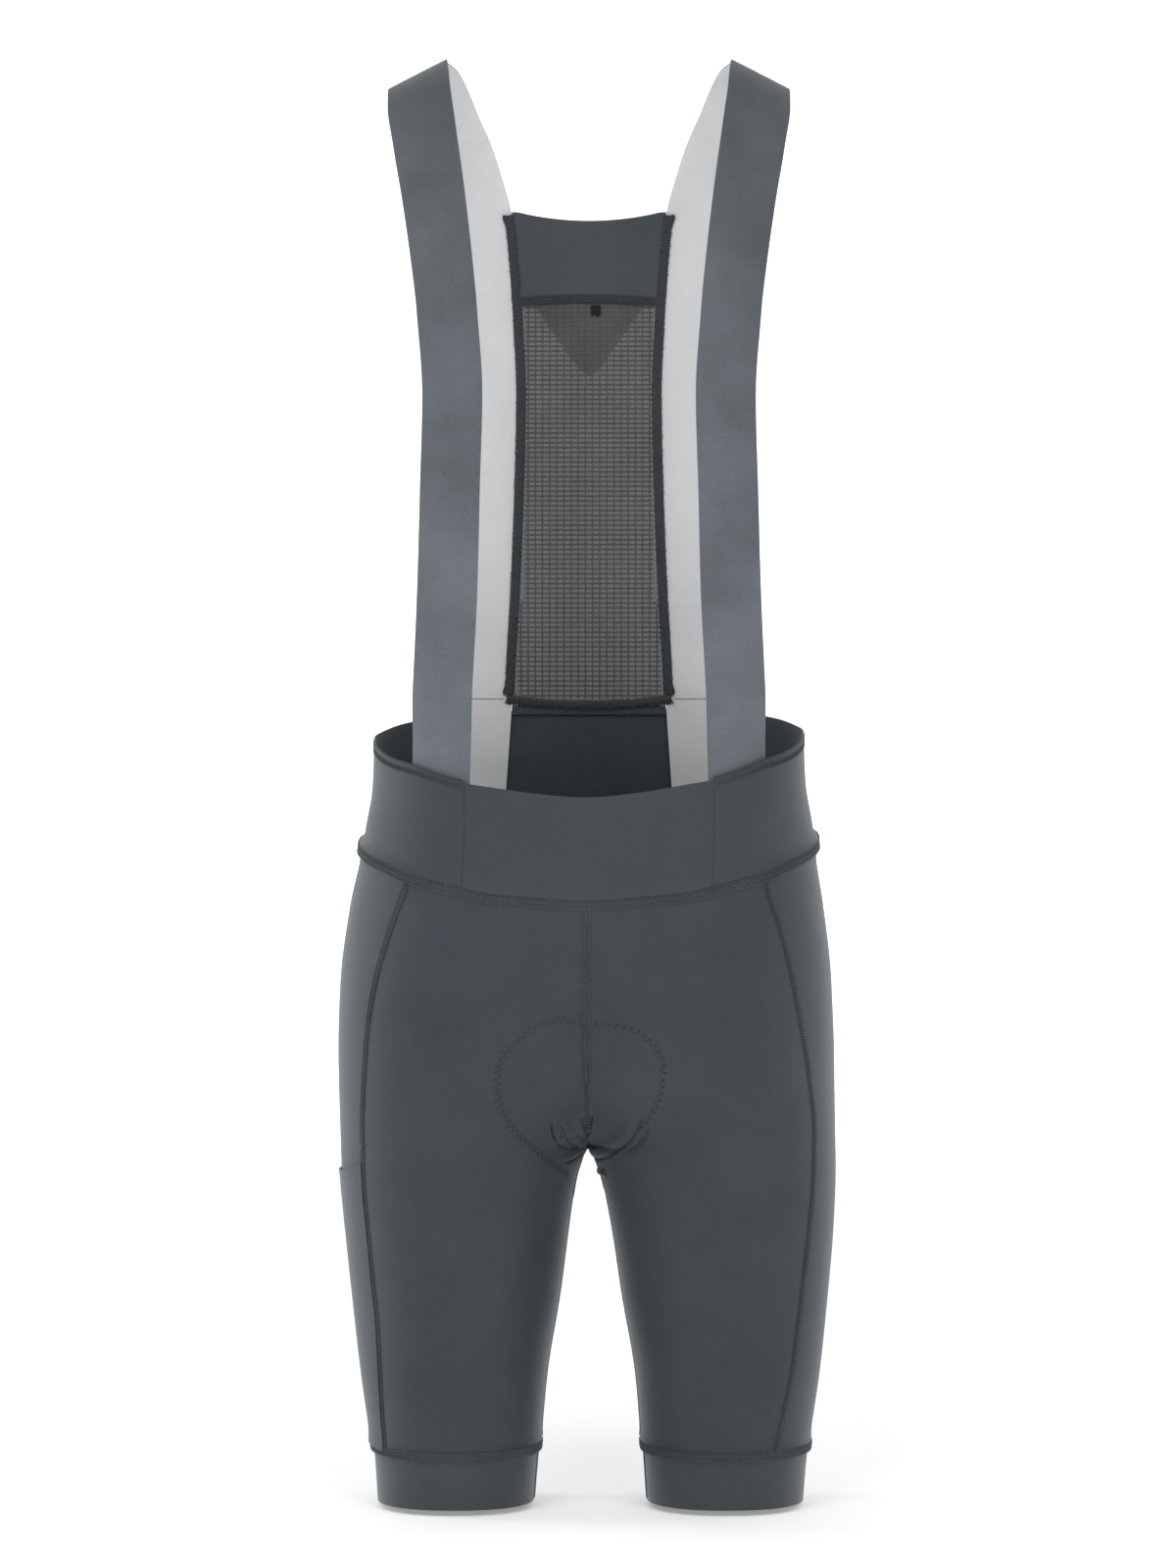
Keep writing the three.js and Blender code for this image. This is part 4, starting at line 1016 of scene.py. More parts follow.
def loop_tab():
    """A short tape folded double, its lower edge cut at a slant."""
    share = np.linspace(0, 1, 9)[None, :]
    rise = np.linspace(0, 1, 9)[:, None]
    x = blend(LOOP_LEFT, LOOP_RIGHT, share) + 0 * rise
    low = LOOP_LOW + LOOP_SLANT * share - LOOP_NOTCH * bump(share - 0.75, 0.2)
    height = blend(low, LOOP_TOP, rise)
    outer, outward = back_spots(x, height, -NET - LAYER_GAP)
    swell = YOKE * (1 + LOOP_SWELL * np.sin(math.pi * share) * np.sin(math.pi * rise))
    return wall("loop_tape", outer, outer - outward * swell[..., None], [LOOP_TAPE])


pieces["loop"] = adopt(loop_tab(), "thread", "loop_tab")

# %% [markdown]
# ## Seat pad
# The pad is a foam insert sewn inside the crotch. Its rows cross from leg to leg and turn from level at
# the ends to straight down the inseams in the middle, where it folds between the legs. It is a closed
# pad, thick along the middle and thin at its rim, with two pressed channels.

# %% Seat pad
PAD = {"front": 82, "back": 150, "front_width": 55, "crotch_width": 48, "back_width": 92}
PAD_GAP = 2.8
PAD_THICKNESS, PAD_RIM = 6.0, 1.6
CHANNEL_DEPTH, CHANNEL_PLACE, CHANNEL_WIDTH = 1.6, 0.45, 0.06


def pad_place(along, across):
    """The way round and the height at a share along the pad, front to back, and a share across it."""
    share = np.abs(along) + 0 * across
    front = along + 0 * across < 0
    rise = share**1.8 * np.where(front, PAD["front"], PAD["back"])
    bend = math.pi / 2 * (1 - share) ** 1.5
    end_width = np.where(front, PAD["front_width"], PAD["back_width"])
    half = blend(PAD["crotch_width"], end_width, ramp(share, 0, 0.7)) * np.sqrt(1 - (0.94 * share) ** 6)
    reach = np.abs(across) * half
    height = CROTCH_HEIGHT + rise - reach * np.sin(bend) + 0.05
    length = outline_at(height.ravel())[2][:, -1].reshape(height.shape)
    way = reach * np.cos(bend) / length
    return np.where(front, way, 1 - way), height


def seat_pad():
    along = np.linspace(-1, 1, 97)[:, None]
    across = np.linspace(-1, 1, 61)[None, :]
    way, height = pad_place(along, across)
    share = np.abs(along) + 0 * across
    thick = PAD_RIM + (PAD_THICKNESS - PAD_RIM) * (1 - across**4) * (1 - share**6)
    thick = thick - CHANNEL_DEPTH * bump(np.abs(across) - CHANNEL_PLACE, CHANNEL_WIDTH) * (1 - share**4)
    left, right = (skin(side, way, height, -LYCRA - PAD_GAP) for side in (1, -1))
    outer, outward = (np.where((across < 0)[..., None], r, l) for r, l in zip(right, left))
    return wall("seat_foam", outer, outer - outward * thick[..., None], [PAD_CLOTH])


pieces["pad"] = adopt(seat_pad(), "padding", "seat_pad")

# %% [markdown]
# ## Seams
# Hundreds of stitches repeat along each seam. A Geometry Nodes tree puts a small stitch on each point of
# a path, turned so that its length follows the seam and its top faces outwards, with a little
# unevenness from a fixed seed. The result is taken as a plain mesh.

# %% The row of stitches
def row_tree():
    tree = bpy.data.node_groups.new("row_of_stitches", "GeometryNodeTree")
    inputs = (
        ("Geometry", "NodeSocketGeometry"), ("Stitch", "NodeSocketObject"), ("Unevenness", "NodeSocketFloat"),
        ("Seed", "NodeSocketInt"), ("Thread", "NodeSocketMaterial"),
    )
    for name, kind in inputs:
        tree.interface.new_socket(name, in_out="INPUT", socket_type=kind)
    tree.interface.new_socket("Geometry", in_out="OUTPUT", socket_type="NodeSocketGeometry")
    given = tree.nodes.new("NodeGroupInput")
    result = tree.nodes.new("NodeGroupOutput")
    stitch = tree.nodes.new("GeometryNodeObjectInfo")
    place = tree.nodes.new("GeometryNodeInstanceOnPoints")
    turn = tree.nodes.new("FunctionNodeAxesToRotation")
    turn.primary_axis, turn.secondary_axis = "X", "Z"
    for name, axis in (("along", 0), ("outward", 1)):
        reader = tree.nodes.new("GeometryNodeInputNamedAttribute")
        reader.data_type = "FLOAT_VECTOR"
        reader.inputs["Name"].default_value = name
        tree.links.new(reader.outputs["Attribute"], turn.inputs[axis])
    low = tree.nodes.new("ShaderNodeMath")
    high = tree.nodes.new("ShaderNodeMath")
    low.operation, high.operation = "SUBTRACT", "ADD"
    scale = tree.nodes.new("FunctionNodeRandomValue")
    scale.data_type = "FLOAT"
    for node, socket in ((low, "Min"), (high, "Max")):
        node.inputs[0].default_value = 1.0
        tree.links.new(given.outputs["Unevenness"], node.inputs[1])
        target = [s for s in scale.inputs if s.name == socket and s.type == "VALUE"][0]
        tree.links.new(node.outputs[0], target)
    tree.links.new(given.outputs["Seed"], scale.inputs["Seed"])
    realize = tree.nodes.new("GeometryNodeRealizeInstances")
    finish = tree.nodes.new("GeometryNodeSetMaterial")
    tree.links.new(given.outputs["Geometry"], place.inputs["Points"])
    tree.links.new(given.outputs["Stitch"], stitch.inputs["Object"])
    tree.links.new(stitch.outputs["Geometry"], place.inputs["Instance"])
    tree.links.new(turn.outputs["Rotation"], place.inputs["Rotation"])
    random_scale = [s for s in scale.outputs if s.type == "VALUE"][0]
    tree.links.new(random_scale, place.inputs["Scale"])
    tree.links.new(place.outputs["Instances"], realize.inputs["Geometry"])
    tree.links.new(realize.outputs["Geometry"], finish.inputs["Geometry"])
    tree.links.new(given.outputs["Thread"], finish.inputs["Material"])
    tree.links.new(finish.outputs["Geometry"], result.inputs["Geometry"])
    return tree


STITCH_ROW = row_tree()


def run_tree(tree, holder, values):
    """Gives a holder the tree, sets its named inputs and returns the result as a plain mesh."""
    modifier = holder.modifiers.new(tree.name, "NODES")
    modifier.node_group = tree
    for item in tree.interface.items_tree:
        if item.item_type == "SOCKET" and item.in_out == "INPUT" and item.name in values:
            modifier[item.identifier] = values[item.name]
    holder.update_tag()
    depsgraph = bpy.context.evaluated_depsgraph_get()
    mesh = bpy.data.meshes.new_from_object(holder.evaluated_get(depsgraph))
    holder.modifiers.clear()
    return mesh


def stitch_row(name, points, along, outward, stitch, thread, seed=1, unevenness=0.06):
    """Stitches on a path: points in millimetres, with the directions along it and outwards."""
    holder_mesh = bpy.data.meshes.new(name + "_path")
    holder_mesh.from_pydata(to_frame(points).tolist(), [], [])
    for attribute, values in (("along", along), ("outward", outward)):
        layer = holder_mesh.attributes.new(attribute, "FLOAT_VECTOR", "POINT")
        layer.data.foreach_set("vector", values.astype(np.float32).ravel())
    holder = bpy.data.objects.new(name + "_path", holder_mesh)
    bpy.context.scene.collection.objects.link(holder)
    mesh = run_tree(STITCH_ROW, holder, {
        "Stitch": stitch, "Unevenness": unevenness, "Seed": seed, "Thread": thread,
    })
    bpy.data.objects.remove(holder)
    piece = bpy.data.objects.new(name, mesh)
    bpy.context.scene.collection.objects.link(piece)
    return adopt(piece, "thread")


# %% [markdown]
# ## Threads
# A stitch is a few short lengths of thread. Each is a thin tube with four sides, bent where the thread
# dives into the cloth: seen from a hand's width away that is round enough, and it keeps thousands light.

# %% Threads
def thread_tube(points, radius):
    """Vertices and faces of a four-sided tube along points in metres."""
    points = np.asarray(points, float)
    along = unit(np.gradient(points, axis=0))
    across = unit(np.cross(along, [0.0, 0.0, 1.0]) + 1e-9)
    up = np.cross(across, along)
    corners = [across, up, -across, -up]
    rings = np.stack([points + radius * corner for corner in corners], 1)
    faces = []
    for j in range(len(points) - 1):
        for i in range(4):
            k = (i + 1) % 4
            faces.append([4 * j + i, 4 * j + 4 + i, 4 * j + 4 + k, 4 * j + k])
    last = 4 * (len(points) - 1)
    return rings.reshape(-1, 3), [[0, 1, 2, 3], *faces, [last + 3, last + 2, last + 1, last]]


def stitch_from(name, threads, radius):
    """One repeat of a stitch as a hidden object, from lengths of thread in millimetres."""
    vertices, faces = [], []
    for thread in threads:
        ring, quads = thread_tube(np.array(thread) / 1000, radius / 1000)
        start = sum(len(v) for v in vertices)
        vertices.append(ring)
        faces += [[start + k for k in quad] for quad in quads]
    piece = make_mesh(name, np.concatenate(vertices), faces, [], sharp=math.radians(180))
    bpy.context.scene.collection.objects.unlink(piece)
    return piece


def zigzag_threads(pitch, rows, lift):
    """Looper threads that cross between needle rows, up and down once in a pitch."""
    threads = []
    for low, high in zip(rows[:-1], rows[1:]):
        middle = (low + high) / 2
        threads.append([
            (-pitch / 2, low, 0.05), (-pitch / 4, middle, lift), (0, high, 0.05), (pitch / 4, middle, lift),
            (pitch / 2, low, 0.05),
        ])
    return threads


def needle_threads(pitch, rows, lift=0.2):
    """Straight stitches, a row each, whose ends dip into the cloth."""
    reach, flat = 0.46 * pitch, 0.2 * pitch
    return [[(-reach, y, -0.1), (-flat, y, lift), (flat, y, lift), (reach, y, -0.1)] for y in rows]


PITCH = 1.9


def coverstitch(name, rows, lift, radius):
    """Needle rows and the looper thread that joins them, as seams in stretch cloth are sewn."""
    return stitch_from(name, zigzag_threads(PITCH, rows, lift) + needle_threads(PITCH, rows), radius)


FLATLOCK = coverstitch("flatlock_stitch", (-2.6, 0, 2.6), 0.35, 0.3)
LADDER = coverstitch("ladder_stitch", (-1.9, 1.9), 0.35, 0.29)
HEM = coverstitch("hem_stitch", (-1.7, 1.7), 0.15, 0.24)
DASH_THREAD = [(-0.95, 0, -0.1), (-0.6, 0, 0.22), (0.6, 0, 0.22), (0.95, 0, -0.1)]
DASH = stitch_from("running_stitch", [DASH_THREAD], 0.24)
ZIG_PITCH, ZIG_WIDTH = 4.7, 6.2
ZIG_THREAD = [
    (-ZIG_PITCH / 2, -ZIG_WIDTH / 2, -0.05), (-ZIG_PITCH / 4, 0, 0.3), (0, ZIG_WIDTH / 2, 0),
    (ZIG_PITCH / 4, 0, 0.3), (ZIG_PITCH / 2, -ZIG_WIDTH / 2, -0.05),
]
ZIGZAG = stitch_from("zigzag_stitch", [ZIG_THREAD], 0.19)
for stitch in (FLATLOCK, LADDER, HEM, DASH, ZIGZAG):
    print(stitch.name, "has", len(stitch.data.polygons), "faces")

# %% [markdown]
# ## Seam paths
# Each seam is a line on the skin. Its points are spread evenly, a stitch's length apart, and under the
# stitches lies a low bed of thread and folded cloth, which also closes the hairline between two panels.

# %% Seam paths
SEAM_BED = cloth_finish("seam_bed", (0.019, 0.024, 0.029), 0.12, 0.8, 0.1, (0.6, 0.6), 0.1)
BED_STEP = 3.0


def even_path(points, outward, pitch):
    """Points at an even pitch along a line, with the directions along it and outwards."""
    length = lengths_along(points, 0)
    count = max(int(round(length[-1] / pitch)), 1)
    at = (np.arange(count) + 0.5) * length[-1] / count
    spots = np.stack([np.interp(at, length, points[:, k]) for k in range(3)], -1)
    out = unit(np.stack([np.interp(at, length, outward[:, k]) for k in range(3)], -1))
    ahead = np.stack([np.interp(at + 0.4, length, points[:, k]) for k in range(3)], -1)
    behind = np.stack([np.interp(at - 0.4, length, points[:, k]) for k in range(3)], -1)
    return spots, unit(ahead - behind), out


def seam_bed(name, points, outward, width, rise, material):
    """A low domed strip along a line on the cloth."""
    spots, along, out = even_path(points, outward, BED_STEP)
    spots = np.concatenate([points[:1], spots, points[-1:]])
    along = np.concatenate([along[:1], along, along[-1:]])
    out = np.concatenate([outward[:1], out, outward[-1:]])
    side = unit(np.cross(out, along))
    share = np.linspace(-1, 1, 9)
    grid = spots[:, None] + side[:, None] * (width / 2 * share)[None, :, None]
    dome = rise * (1 - np.abs(share) ** 3)
    top = grid + out[:, None] * (0.08 + dome)[None, :, None]
    low = grid - out[:, None] * 0.3
    return adopt(wall(name, top, low, [material]), "thread")


def stitch_along(name, points, outward, kind, thread, seed, pitch=PITCH, lift=0.0):
    """A line of stitches alone."""
    spots, along, out = even_path(points, outward, pitch)
    return stitch_row(name + "_stitches", spots + out * lift, along, out, kind, thread, seed)


def sew(name, points, outward, kind, width, rise, seed, thread=SEAM_THREAD, bed_cloth=SEAM_BED):
    """A seam: its bed, and the stitches that stand on it."""
    seam_bed(name + "_bed", points, outward, width, rise, bed_cloth)
    return stitch_along(name, points, outward, kind, thread, seed, lift=rise * 0.8)


def meet(edge, way_at_height, height):
    """The height at which a seam up a panel meets a sewn edge."""
    for _ in range(8):
        height = float(edge(way_at_height(height)))
    return height


# Centre front and centre back, down to the crotch; then each leg's inseam, side seams and cuff
FRONT_NARROWS = 290.0
WAIST_SHORT, SIDE_SHORT, CUFF_SHORT = 4.5, 6.0, 3.0
CUFF_BAND_HEIGHT, CUFF_BAND_LEVEL, CUFF_JOIN_WAY = 37.0, 0.7, 0.02
centre = np.linspace(FRONT_NARROWS, float(waist_seam(0.0)) - WAIST_SHORT, 90)
sew("centre_front", *skin(1, 0 * centre, centre), FLATLOCK, 6.3, 0.45, seed=2)
centre = np.linspace(CROTCH_HEIGHT + 9, FRONT_NARROWS, 60)
sew("centre_front_low", *skin(1, 0 * centre, centre), LADDER, 4.8, 0.4, seed=2)
centre = np.linspace(CROTCH_HEIGHT + 1.5, float(waist_seam(1.0)) - WAIST_SHORT, 120)
sew("centre_back", *skin(1, 0 * centre + 1, centre), FLATLOCK, 6.3, 0.45, seed=3)
for side, where in ((-1, "right"), (1, "left")):
    leg = np.linspace(CROTCH_HEIGHT - 2, float(cuff_seam(0.0)) + CUFF_SHORT, 100)
    sew(f"inseam_{where}", *skin(side, 0 * leg, leg), LADDER, 4.4, 0.1, seed=4, bed_cloth=LYCRA_CLOTH)
    for place, way_at in (("front", lambda height: side_front_way(side, height)), ("back", side_back_way)):
        low, high = meet(cuff_seam, way_at, CUFF_GUESS), meet(waist_seam, way_at, WAIST_GUESS)
        line = np.linspace(low + CUFF_SHORT, high - SIDE_SHORT, 160)
        sew(f"side_{place}_{where}", *skin(side, way_at(line), line), LADDER, 4.6, 0.4, seed=5)
    ring = np.linspace(0, 1, 181)
    band_height = blend(cuff_seam(ring), CUFF_BAND_HEIGHT, CUFF_BAND_LEVEL)
    sew(f"cuff_seam_{where}", *skin(side, ring, band_height), FLATLOCK, 6.4, 0.5, seed=7)
    cuff_rise = np.linspace(1.5, float(cuff_seam(0.03)) - CUFF_SHORT, 20)
    line = skin(side, 0 * cuff_rise + CUFF_JOIN_WAY, cuff_rise, -CUFF_INSET)
    sew(f"cuff_join_{where}", *line, LADDER, 4.0, 0.3, thread=LIGHT_THREAD, seed=8)

# The waist seam goes right round; the wrap's hem runs below its top edge
WAIST_DROP, HEM_DROP, FOLD_DROP, HEM_SHORT = 3.0, 4.8, 0.5, 0.012
round_waist = np.linspace(-1, 1, 400)
sew("waist_seam", *skin(1, round_waist, waist_seam(round_waist) - WAIST_DROP), FLATLOCK, 6.0, 0.5, seed=9)
line = skin(1, round_waist, waist_seam(round_waist) + 0.3, 0.1)
stitch_along("waist_line", *line, DASH, DARK_THREAD, seed=9)
wrap = np.linspace(SPLIT_WAY + HEM_SHORT, 2 - SPLIT_WAY - HEM_SHORT, 400)
wrap_edge = waist_top(wrap) + WRAP_STEP
stitch_along("wrap_hem", *skin(1, wrap, wrap_edge - HEM_DROP), HEM, EDGE_THREAD, seed=10)
# Painted shade: a row of dark dashes just under the wrap's top edge stands for the shadow under its fold.
stitch_along("wrap_fold", *skin(1, wrap, wrap_edge - FOLD_DROP, -0.15), DASH, DARK_THREAD, seed=11)

# %% [markdown]
# ## Stitching on the back
# A pale running stitch follows the net's two sides, and a ladder with a fine row beside it holds the
# yoke's hem. Both are seen from inside, so their stitches face the front.

# %% Stitching on the back
NET_LINE_INSET, NET_LINE_PITCH, YOKE_HEM_HALF = 2.2, 3.9, 50
net_line_heights = np.linspace(552, 812, 200)
for side, where in ((-1, "right"), (1, "left")):
    x = side * (strap_inner_at(net_line_heights) - NET_LINE_INSET)
    line, outward = back_spots(x, net_line_heights, -NET)
    stitch_along(f"net_edge_{where}", line, -outward, DASH, PALE_THREAD, seed=12, pitch=NET_LINE_PITCH)
across = np.linspace(-YOKE_HEM_HALF, YOKE_HEM_HALF, 60)
for shift, width, kind, seed in ((3.0, 5.4, LADDER, 13), (0.2, 1.6, DASH, 14)):
    line, outward = back_spots(across, yoke_hem(across) + shift, -NET - LAYER_GAP - YOKE)
    sew(f"yoke_hem_{seed}", line, -outward, kind, width, 0.25, thread=EDGE_THREAD, seed=seed)

# %% [markdown]
# ## Overlocked edges
# Raw edges of the net and the straps are bound by an overlocker, whose threads wrap round the cut edge
# in a dense, slightly furry row. A rounded core carries two rows of thread loops that lean opposite ways.

# %% Overlocked edges
RIDGE_WIDTH, RIDGE_HEIGHT = 5.4, 1.9
RIDGE_TOP, RIDGE_BOTTOM = 884.0, 548.4
RIDGE_LOW, RIDGE_RISE, RIDGE_REACH = 538.6, 4.4, 58.0
RIDGE_LIFT = -STRAP - LAYER_GAP
RIDGE_OVERLAP, RIDGE_LUMP = 1.3, 1.6
LOOP_PITCH, LOOP_UNEVENNESS = 1.4, 0.22


def loop_threads(lean):
    """One wrap of thread over the ridge, leaning one way or the other."""
    reach = RIDGE_WIDTH / 2 + 0.35
    return [[
        (lean * -1.1, -reach, -1.6), (lean * -0.7, -reach * 0.7, -0.2), (0, 0, 0.25),
        (lean * 0.7, reach * 0.7, -0.2), (lean * 1.1, reach, -1.6),
    ]]


LOOPS = [stitch_from(f"overlock_loop_{k}", loop_threads(lean), 0.4) for k, lean in enumerate((1, -1))]


def ridge(name, node, x, height):
    """A rounded core along a line on the inner side of the back, wrapped in two rows of loops."""
    share = np.linspace(0, 1, 13)
    profile = 0.3 + 0.7 * np.sin(math.pi * share) ** 0.6
    outer, outward = back_spots(x, height, RIDGE_LIFT)
    core = wall(name, outer, outer - outward * (RIDGE_HEIGHT * profile)[None, :, None], [SEAM_BED])
    middle, out = back_spots(x[:, 6], height[:, 6], RIDGE_LIFT - RIDGE_HEIGHT)
    for k, loop in enumerate(LOOPS):
        spots, along, outwards = even_path(middle, out, LOOP_PITCH)
        spots = spots + along * (0.3 * k)
        row = (f"{name}_loops_{k}", spots, along, -outwards)
        stitch_row(*row, loop, EDGE_THREAD, seed=20 + k, unevenness=LOOP_UNEVENNESS)
    return adopt(core, "thread", node)


share = np.linspace(0, 1, 13)[None, :]
for side, where in ((-1, "right"), (1, "left")):
    height = np.linspace(RIDGE_BOTTOM, RIDGE_TOP, 150)[:, None] + 0 * share
    lump = RIDGE_LUMP * (bump(height - RIDGE_TOP + 2, 4) + bump(height - RIDGE_BOTTOM - 2, 3))
    x = side * (strap_inner_at(height) + blend(-RIDGE_OVERLAP, RIDGE_WIDTH + lump, share))
    pieces[f"ridge_{where}"] = ridge(f"edge_ridge_{where}", f"overlock_{where}", x, height)
across = np.linspace(-1, 1, 60)[:, None]
lump = 1.2 * bump(np.abs(across) - 0.96, 0.05)
height = RIDGE_LOW + RIDGE_RISE * across**2 + RIDGE_WIDTH * share - 0.4 + lump * (2 * share - 1)
x = across * RIDGE_REACH + 0 * share
pieces["ridge_bottom"] = ridge("edge_ridge_bottom", "overlock_bottom", x, height)

# %% [markdown]
# ## Net threads
# The net's darker threads cross in cells 5 mm wide and 3.4 mm high. The same tree lays a small cross of
# flat thread on each crossing, through both faces of the sheet: a picture of a grid would lie flat.

# %% Net threads
CELL_WIDTH, CELL_HEIGHT = 5.0, 3.4
THREAD_HALF, ACROSS_RISE, DOWN_RISE = 0.5, 0.18, 0.22
GRID_MARGIN_LOW, GRID_MARGIN_TOP, GRID_HALF_COLUMNS = 3, 38, 11


def net_cross():
    """A thread across and a thread down, with the net's thickness between their two faces."""
    bars = []
    spans = ((CELL_WIDTH / 2, THREAD_HALF, ACROSS_RISE), (THREAD_HALF, CELL_HEIGHT / 2, DOWN_RISE))
    for half_x, half_y, high in spans:
        bars.append(([(-half_x, -half_y), (half_x, -half_y), (half_x, half_y), (-half_x, half_y)], high))
    vertices, faces = [], []
    for corners, high in bars:
        start = len(vertices)
        for z in (-NET - high, high):
            vertices += [(x / 1000, y / 1000, z / 1000) for x, y in corners]
        faces += [[start + k for k in quad] for quad in (
            (3, 2, 1, 0), (4, 5, 6, 7), (0, 1, 5, 4), (1, 2, 6, 5), (2, 3, 7, 6), (3, 0, 4, 7))]
    piece = make_mesh("net_cross", np.array(vertices), faces, [])
    bpy.context.scene.collection.objects.unlink(piece)
    return piece


def net_threads():
    heights = np.arange(NET_BOTTOM + GRID_MARGIN_LOW, NET_TOP - GRID_MARGIN_TOP, CELL_HEIGHT)
    columns = (np.arange(-GRID_HALF_COLUMNS, GRID_HALF_COLUMNS) + 0.5) * CELL_WIDTH
    x, height = np.meshgrid(columns, heights)
    keep = np.abs(x) < strap_inner_at(height) - CELL_WIDTH / 2
    spots, outward = back_spots(x[keep], height[keep], -NET)
    along = unit(np.array([1.0, 0.0, 0.0]) - outward * outward[:, :1])
    return stitch_row("net_grid", spots, along, -outward, net_cross(), NET_THREAD, seed=30, unevenness=0.0)


pieces["net_grid"] = net_threads()

# %% [markdown]
# ## Pad outline and strap stitching
# A zigzag holds the pad to the cloth. In front it follows the line that shows from outside, and behind
# it follows the pad's rim. A plain row of stitches crosses each strap where it is let into the waist.

# %% Pad outline
PAD_LINE = {
    1: table(
        "share x height", (0, 0, 326), (1, 15.5, 325), (2, 30.4, 321.7), (3, 42.7, 312), (4, 47.9, 298.4),
        (5, 46.6, 282.9), (6, 40.1, 266.1), (7, 30.4, 255.1), (8, 20, 238),
    ),
    -1: table(
        "share x height", (0, 0, 326.3), (1, 18.8, 329.5), (2, 35.8, 325), (3, 45.3, 317.2),
        (4, 57.6, 304.3), (5, 60.5, 289.4), (6, 59.5, 276.5), (7, 53, 261.6), (8, 40.1, 246.7),
        (9, 27.2, 235.7), (10, 13.6, 223.1),
    ),
}
PAD_LINE_START, PAD_LINE_END = 0.12, {1: 6.7, -1: 10.0}
PAD_RIM_LINE, PAD_RIM_END = 0.97, 0.985


def front_line(side, x, height):
    """A line on the front of the skin, from its x and heights."""
    away = np.maximum(x - side * read(LEAN, "x", height), 0)
    return skin(side, way_at_x(away, height), height)


for side, where in ((-1, "right"), (1, "left")):
    tab = PAD_LINE[side]
    at = np.linspace(PAD_LINE_START, PAD_LINE_END[side], 160)
    line = front_line(side, read(tab, "x", at), read(tab, "height", at))
    stitch_along(f"pad_front_{where}", *line, ZIGZAG, PAD_THREAD, seed=40, pitch=ZIG_PITCH)
    along = np.linspace(PAD_LINE_START, PAD_RIM_END, 120)
    way, height = pad_place(along, np.ones_like(along) * PAD_RIM_LINE)
    line = skin(side, way, height)
    stitch_along(f"pad_back_{where}", *line, ZIGZAG, PAD_THREAD, seed=41, pitch=ZIG_PITCH)
    half = np.linspace(0.004, 1 - float(way[-1]), 40)[::-1]
    line = skin(side, 1 - half, height[-1] + 0 * half)
    stitch_along(f"pad_top_{where}", *line, ZIGZAG, PAD_THREAD, seed=42, pitch=ZIG_PITCH)

# %% Strap stitching
STRAP_LINE, STRAP_LINE_PITCH = 545.0, 2.3
inner, outer = (float(read(STRAP_BACK, edge, STRAP_LINE)) for edge in ("inner", "outer"))
for side, where in ((-1, "right"), (1, "left")):
    x = side * np.linspace(inner + 6, outer - 1, 40)
    line, outward = back_spots(x, STRAP_LINE + 0 * x, -STRAP)
    stitch_along(f"strap_line_{where}", line, -outward, DASH, DARK_THREAD, seed=43, pitch=STRAP_LINE_PITCH)

# %% [markdown]
# ## The cut
# Stretch cloth is cut smaller than the body it goes round. The flat size of each piece is its worn size
# divided by how far its cloth is stretched across and along, as a pattern cutter would work it out.

# %% The cut
STRETCH = {
    "lycra": (1.14, 1.03), "band": (1.1, 1.0), "cuff": (1.1, 1.0), "elastic": (0.99, 1.1),
    "net": (1.03, 1.03),
}
SHEETS = {
    "front_right": "lycra", "side_right": "lycra", "back_right": "lycra", "front_left": "lycra",
    "side_left": "lycra", "back_left": "lycra", "pocket": "lycra", "cuff_right": "cuff",
    "cuff_left": "cuff", "band_front": "band", "band_back": "band", "strap_right": "elastic",
    "strap_left": "elastic", "net_panel": "net", "yoke_inner": "lycra", "yoke_outer": "lycra",
}


def cut_of(outer, stretch):
    """The flat width and length and the flat area of a worn grid, in metres."""
    width = lengths_along(outer, 1)[:, -1].max() / stretch[0] / 1000
    length = lengths_along(outer, 0)[-1].max() / stretch[1] / 1000
    a, b = outer[1:, 1:] - outer[:-1, :-1], outer[1:, :-1] - outer[:-1, 1:]
    area = np.linalg.norm(np.cross(a, b), axis=-1).sum() / 2 / stretch[0] / stretch[1] / 1e6
    return float(width), float(length), float(min(area, width * length))


for key, cloth in SHEETS.items():
    width, length, area = cut_of(GRIDS[pieces[key].name], STRETCH[cloth])
    print(f"{pieces[key].name}: cut {width * 1000:.0f} x {length * 1000:.0f} mm, {area * 1e4:.0f} cm2")

# %% [markdown]
# ## Studio
# The shorts stand alone on a pale floor that curves up into a wall, as product photographs are made.
# Large soft lamps keep the light even; two at the sides give the cloth its brighter edges.

# %% Floor and backdrop
STAGE_GAP = 0.004
floor_z = HEM_Z - STAGE_GAP
WALL_Y, WALL_CURVE, WALL_HEIGHT, FLOOR_HALF = 5.2, 0.8, 4.5, 5.0
curve = [
    (WALL_Y - WALL_CURVE * (1 - math.sin(turn)), floor_z + WALL_CURVE * (1 - math.cos(turn)))
    for turn in np.linspace(0, math.pi / 2, 17)
]
profile = [(-FLOOR_HALF, floor_z), (WALL_Y - 2.0, floor_z), *curve, (WALL_Y, floor_z + WALL_HEIGHT)]
corners = [(x, y, z) for y, z in profile for x in (-FLOOR_HALF, FLOOR_HALF)]
quads = [[2 * k, 2 * k + 1, 2 * k + 3, 2 * k + 2] for k in range(len(profile) - 1)]
PAPER = cloth_finish("paper", (0.93, 0.93, 0.93), 0.01, 0.9, 0.0, (3.0, 3.0), 0.02)
PAPER_WALL = cloth_finish("paper_wall", (0.93, 0.93, 0.93), 0.01, 0.9, 0.0, (3.0, 3.0), 0.02)
for paper, glow in ((PAPER, 0.27), (PAPER_WALL, 0.65)):
    shader = paper.node_tree.nodes["Principled BSDF"]
    shader.inputs["Emission Color"].default_value = (1, 1, 1, 1)
    shader.inputs["Emission Strength"].default_value = glow
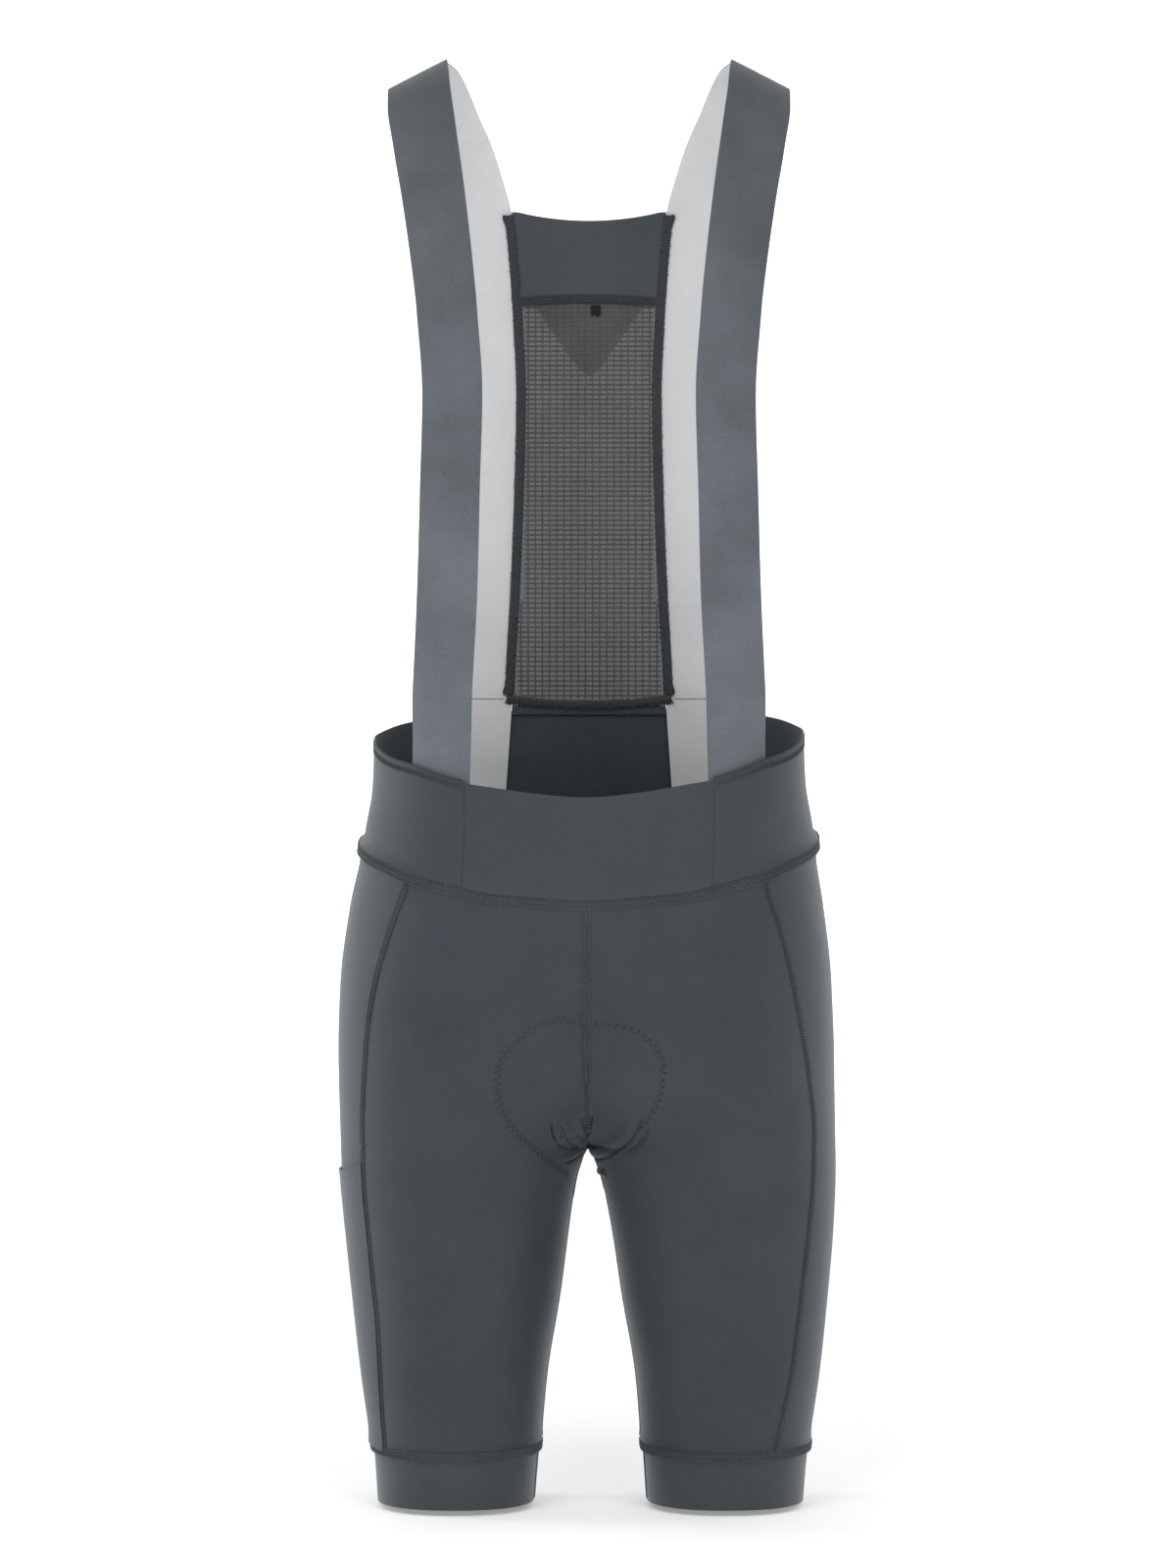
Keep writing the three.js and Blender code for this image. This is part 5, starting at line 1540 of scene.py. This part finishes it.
papers = [0] + [1] * (len(quads) - 1)
backdrop = make_mesh("backdrop", np.array(corners), quads, [PAPER, PAPER_WALL], papers)

# %% Lights
world = bpy.data.worlds.new("studio")
world.use_nodes = True
world.node_tree.nodes["Background"].inputs["Color"].default_value = (1, 1, 1, 1)
world.node_tree.nodes["Background"].inputs["Strength"].default_value = 0.48
bpy.context.scene.world = world
middle = np.array([0.0, 0.0, HEM_Z + 0.48])


def soft_lamp(name, place, width, height, power):
    """A rectangular lamp that faces the middle of the shorts."""
    data = bpy.data.lights.new(name, "AREA")
    data.shape = "RECTANGLE"
    data.size, data.size_y = width, height
    data.energy = power
    lamp = bpy.data.objects.new(name, data)
    bpy.context.scene.collection.objects.link(lamp)
    lamp.location = place
    direction = np.array(place) - middle
    turn = math.atan2(direction[0], -direction[1])
    tilt = math.atan2(math.hypot(direction[0], direction[1]), direction[2])
    lamp.rotation_euler = (tilt, 0, turn)


soft_lamp("key", (-1.1, -2.7, 1.7), 1.6, 2.0, 34)
soft_lamp("fill", (1.0, -2.8, 1.0), 1.6, 2.2, 32)
soft_lamp("left_edge", (-2.4, 0.6, 0.0), 0.9, 2.4, 22)
soft_lamp("right_edge", (2.4, 0.6, 0.0), 0.9, 2.4, 8)

# %% [markdown]
# ## Camera
# The photograph was taken square on and from some way off. A level camera 3.3 m away, with the picture's
# half height as a length on the object, gives the same view without a trial of lenses.

# %% Camera
CAMERA_AWAY = 3300.0
CAMERA_HEIGHT = 485.4
CAMERA_X = -0.67
PICTURE_HALF = 533.3
SENSOR = 24.0
camera_data = bpy.data.cameras.new("camera")
camera_data.sensor_fit = "VERTICAL"
camera_data.sensor_height = SENSOR
camera_data.lens = SENSOR / 2 * CAMERA_AWAY / PICTURE_HALF
camera = bpy.data.objects.new("camera", camera_data)
bpy.context.scene.collection.objects.link(camera)
camera.location = to_frame([CAMERA_X, -CAMERA_AWAY, CAMERA_HEIGHT])
camera.rotation_euler = (math.pi / 2, 0, 0)
bpy.context.scene.camera = camera
bpy.context.scene.view_settings.view_transform = "Standard"
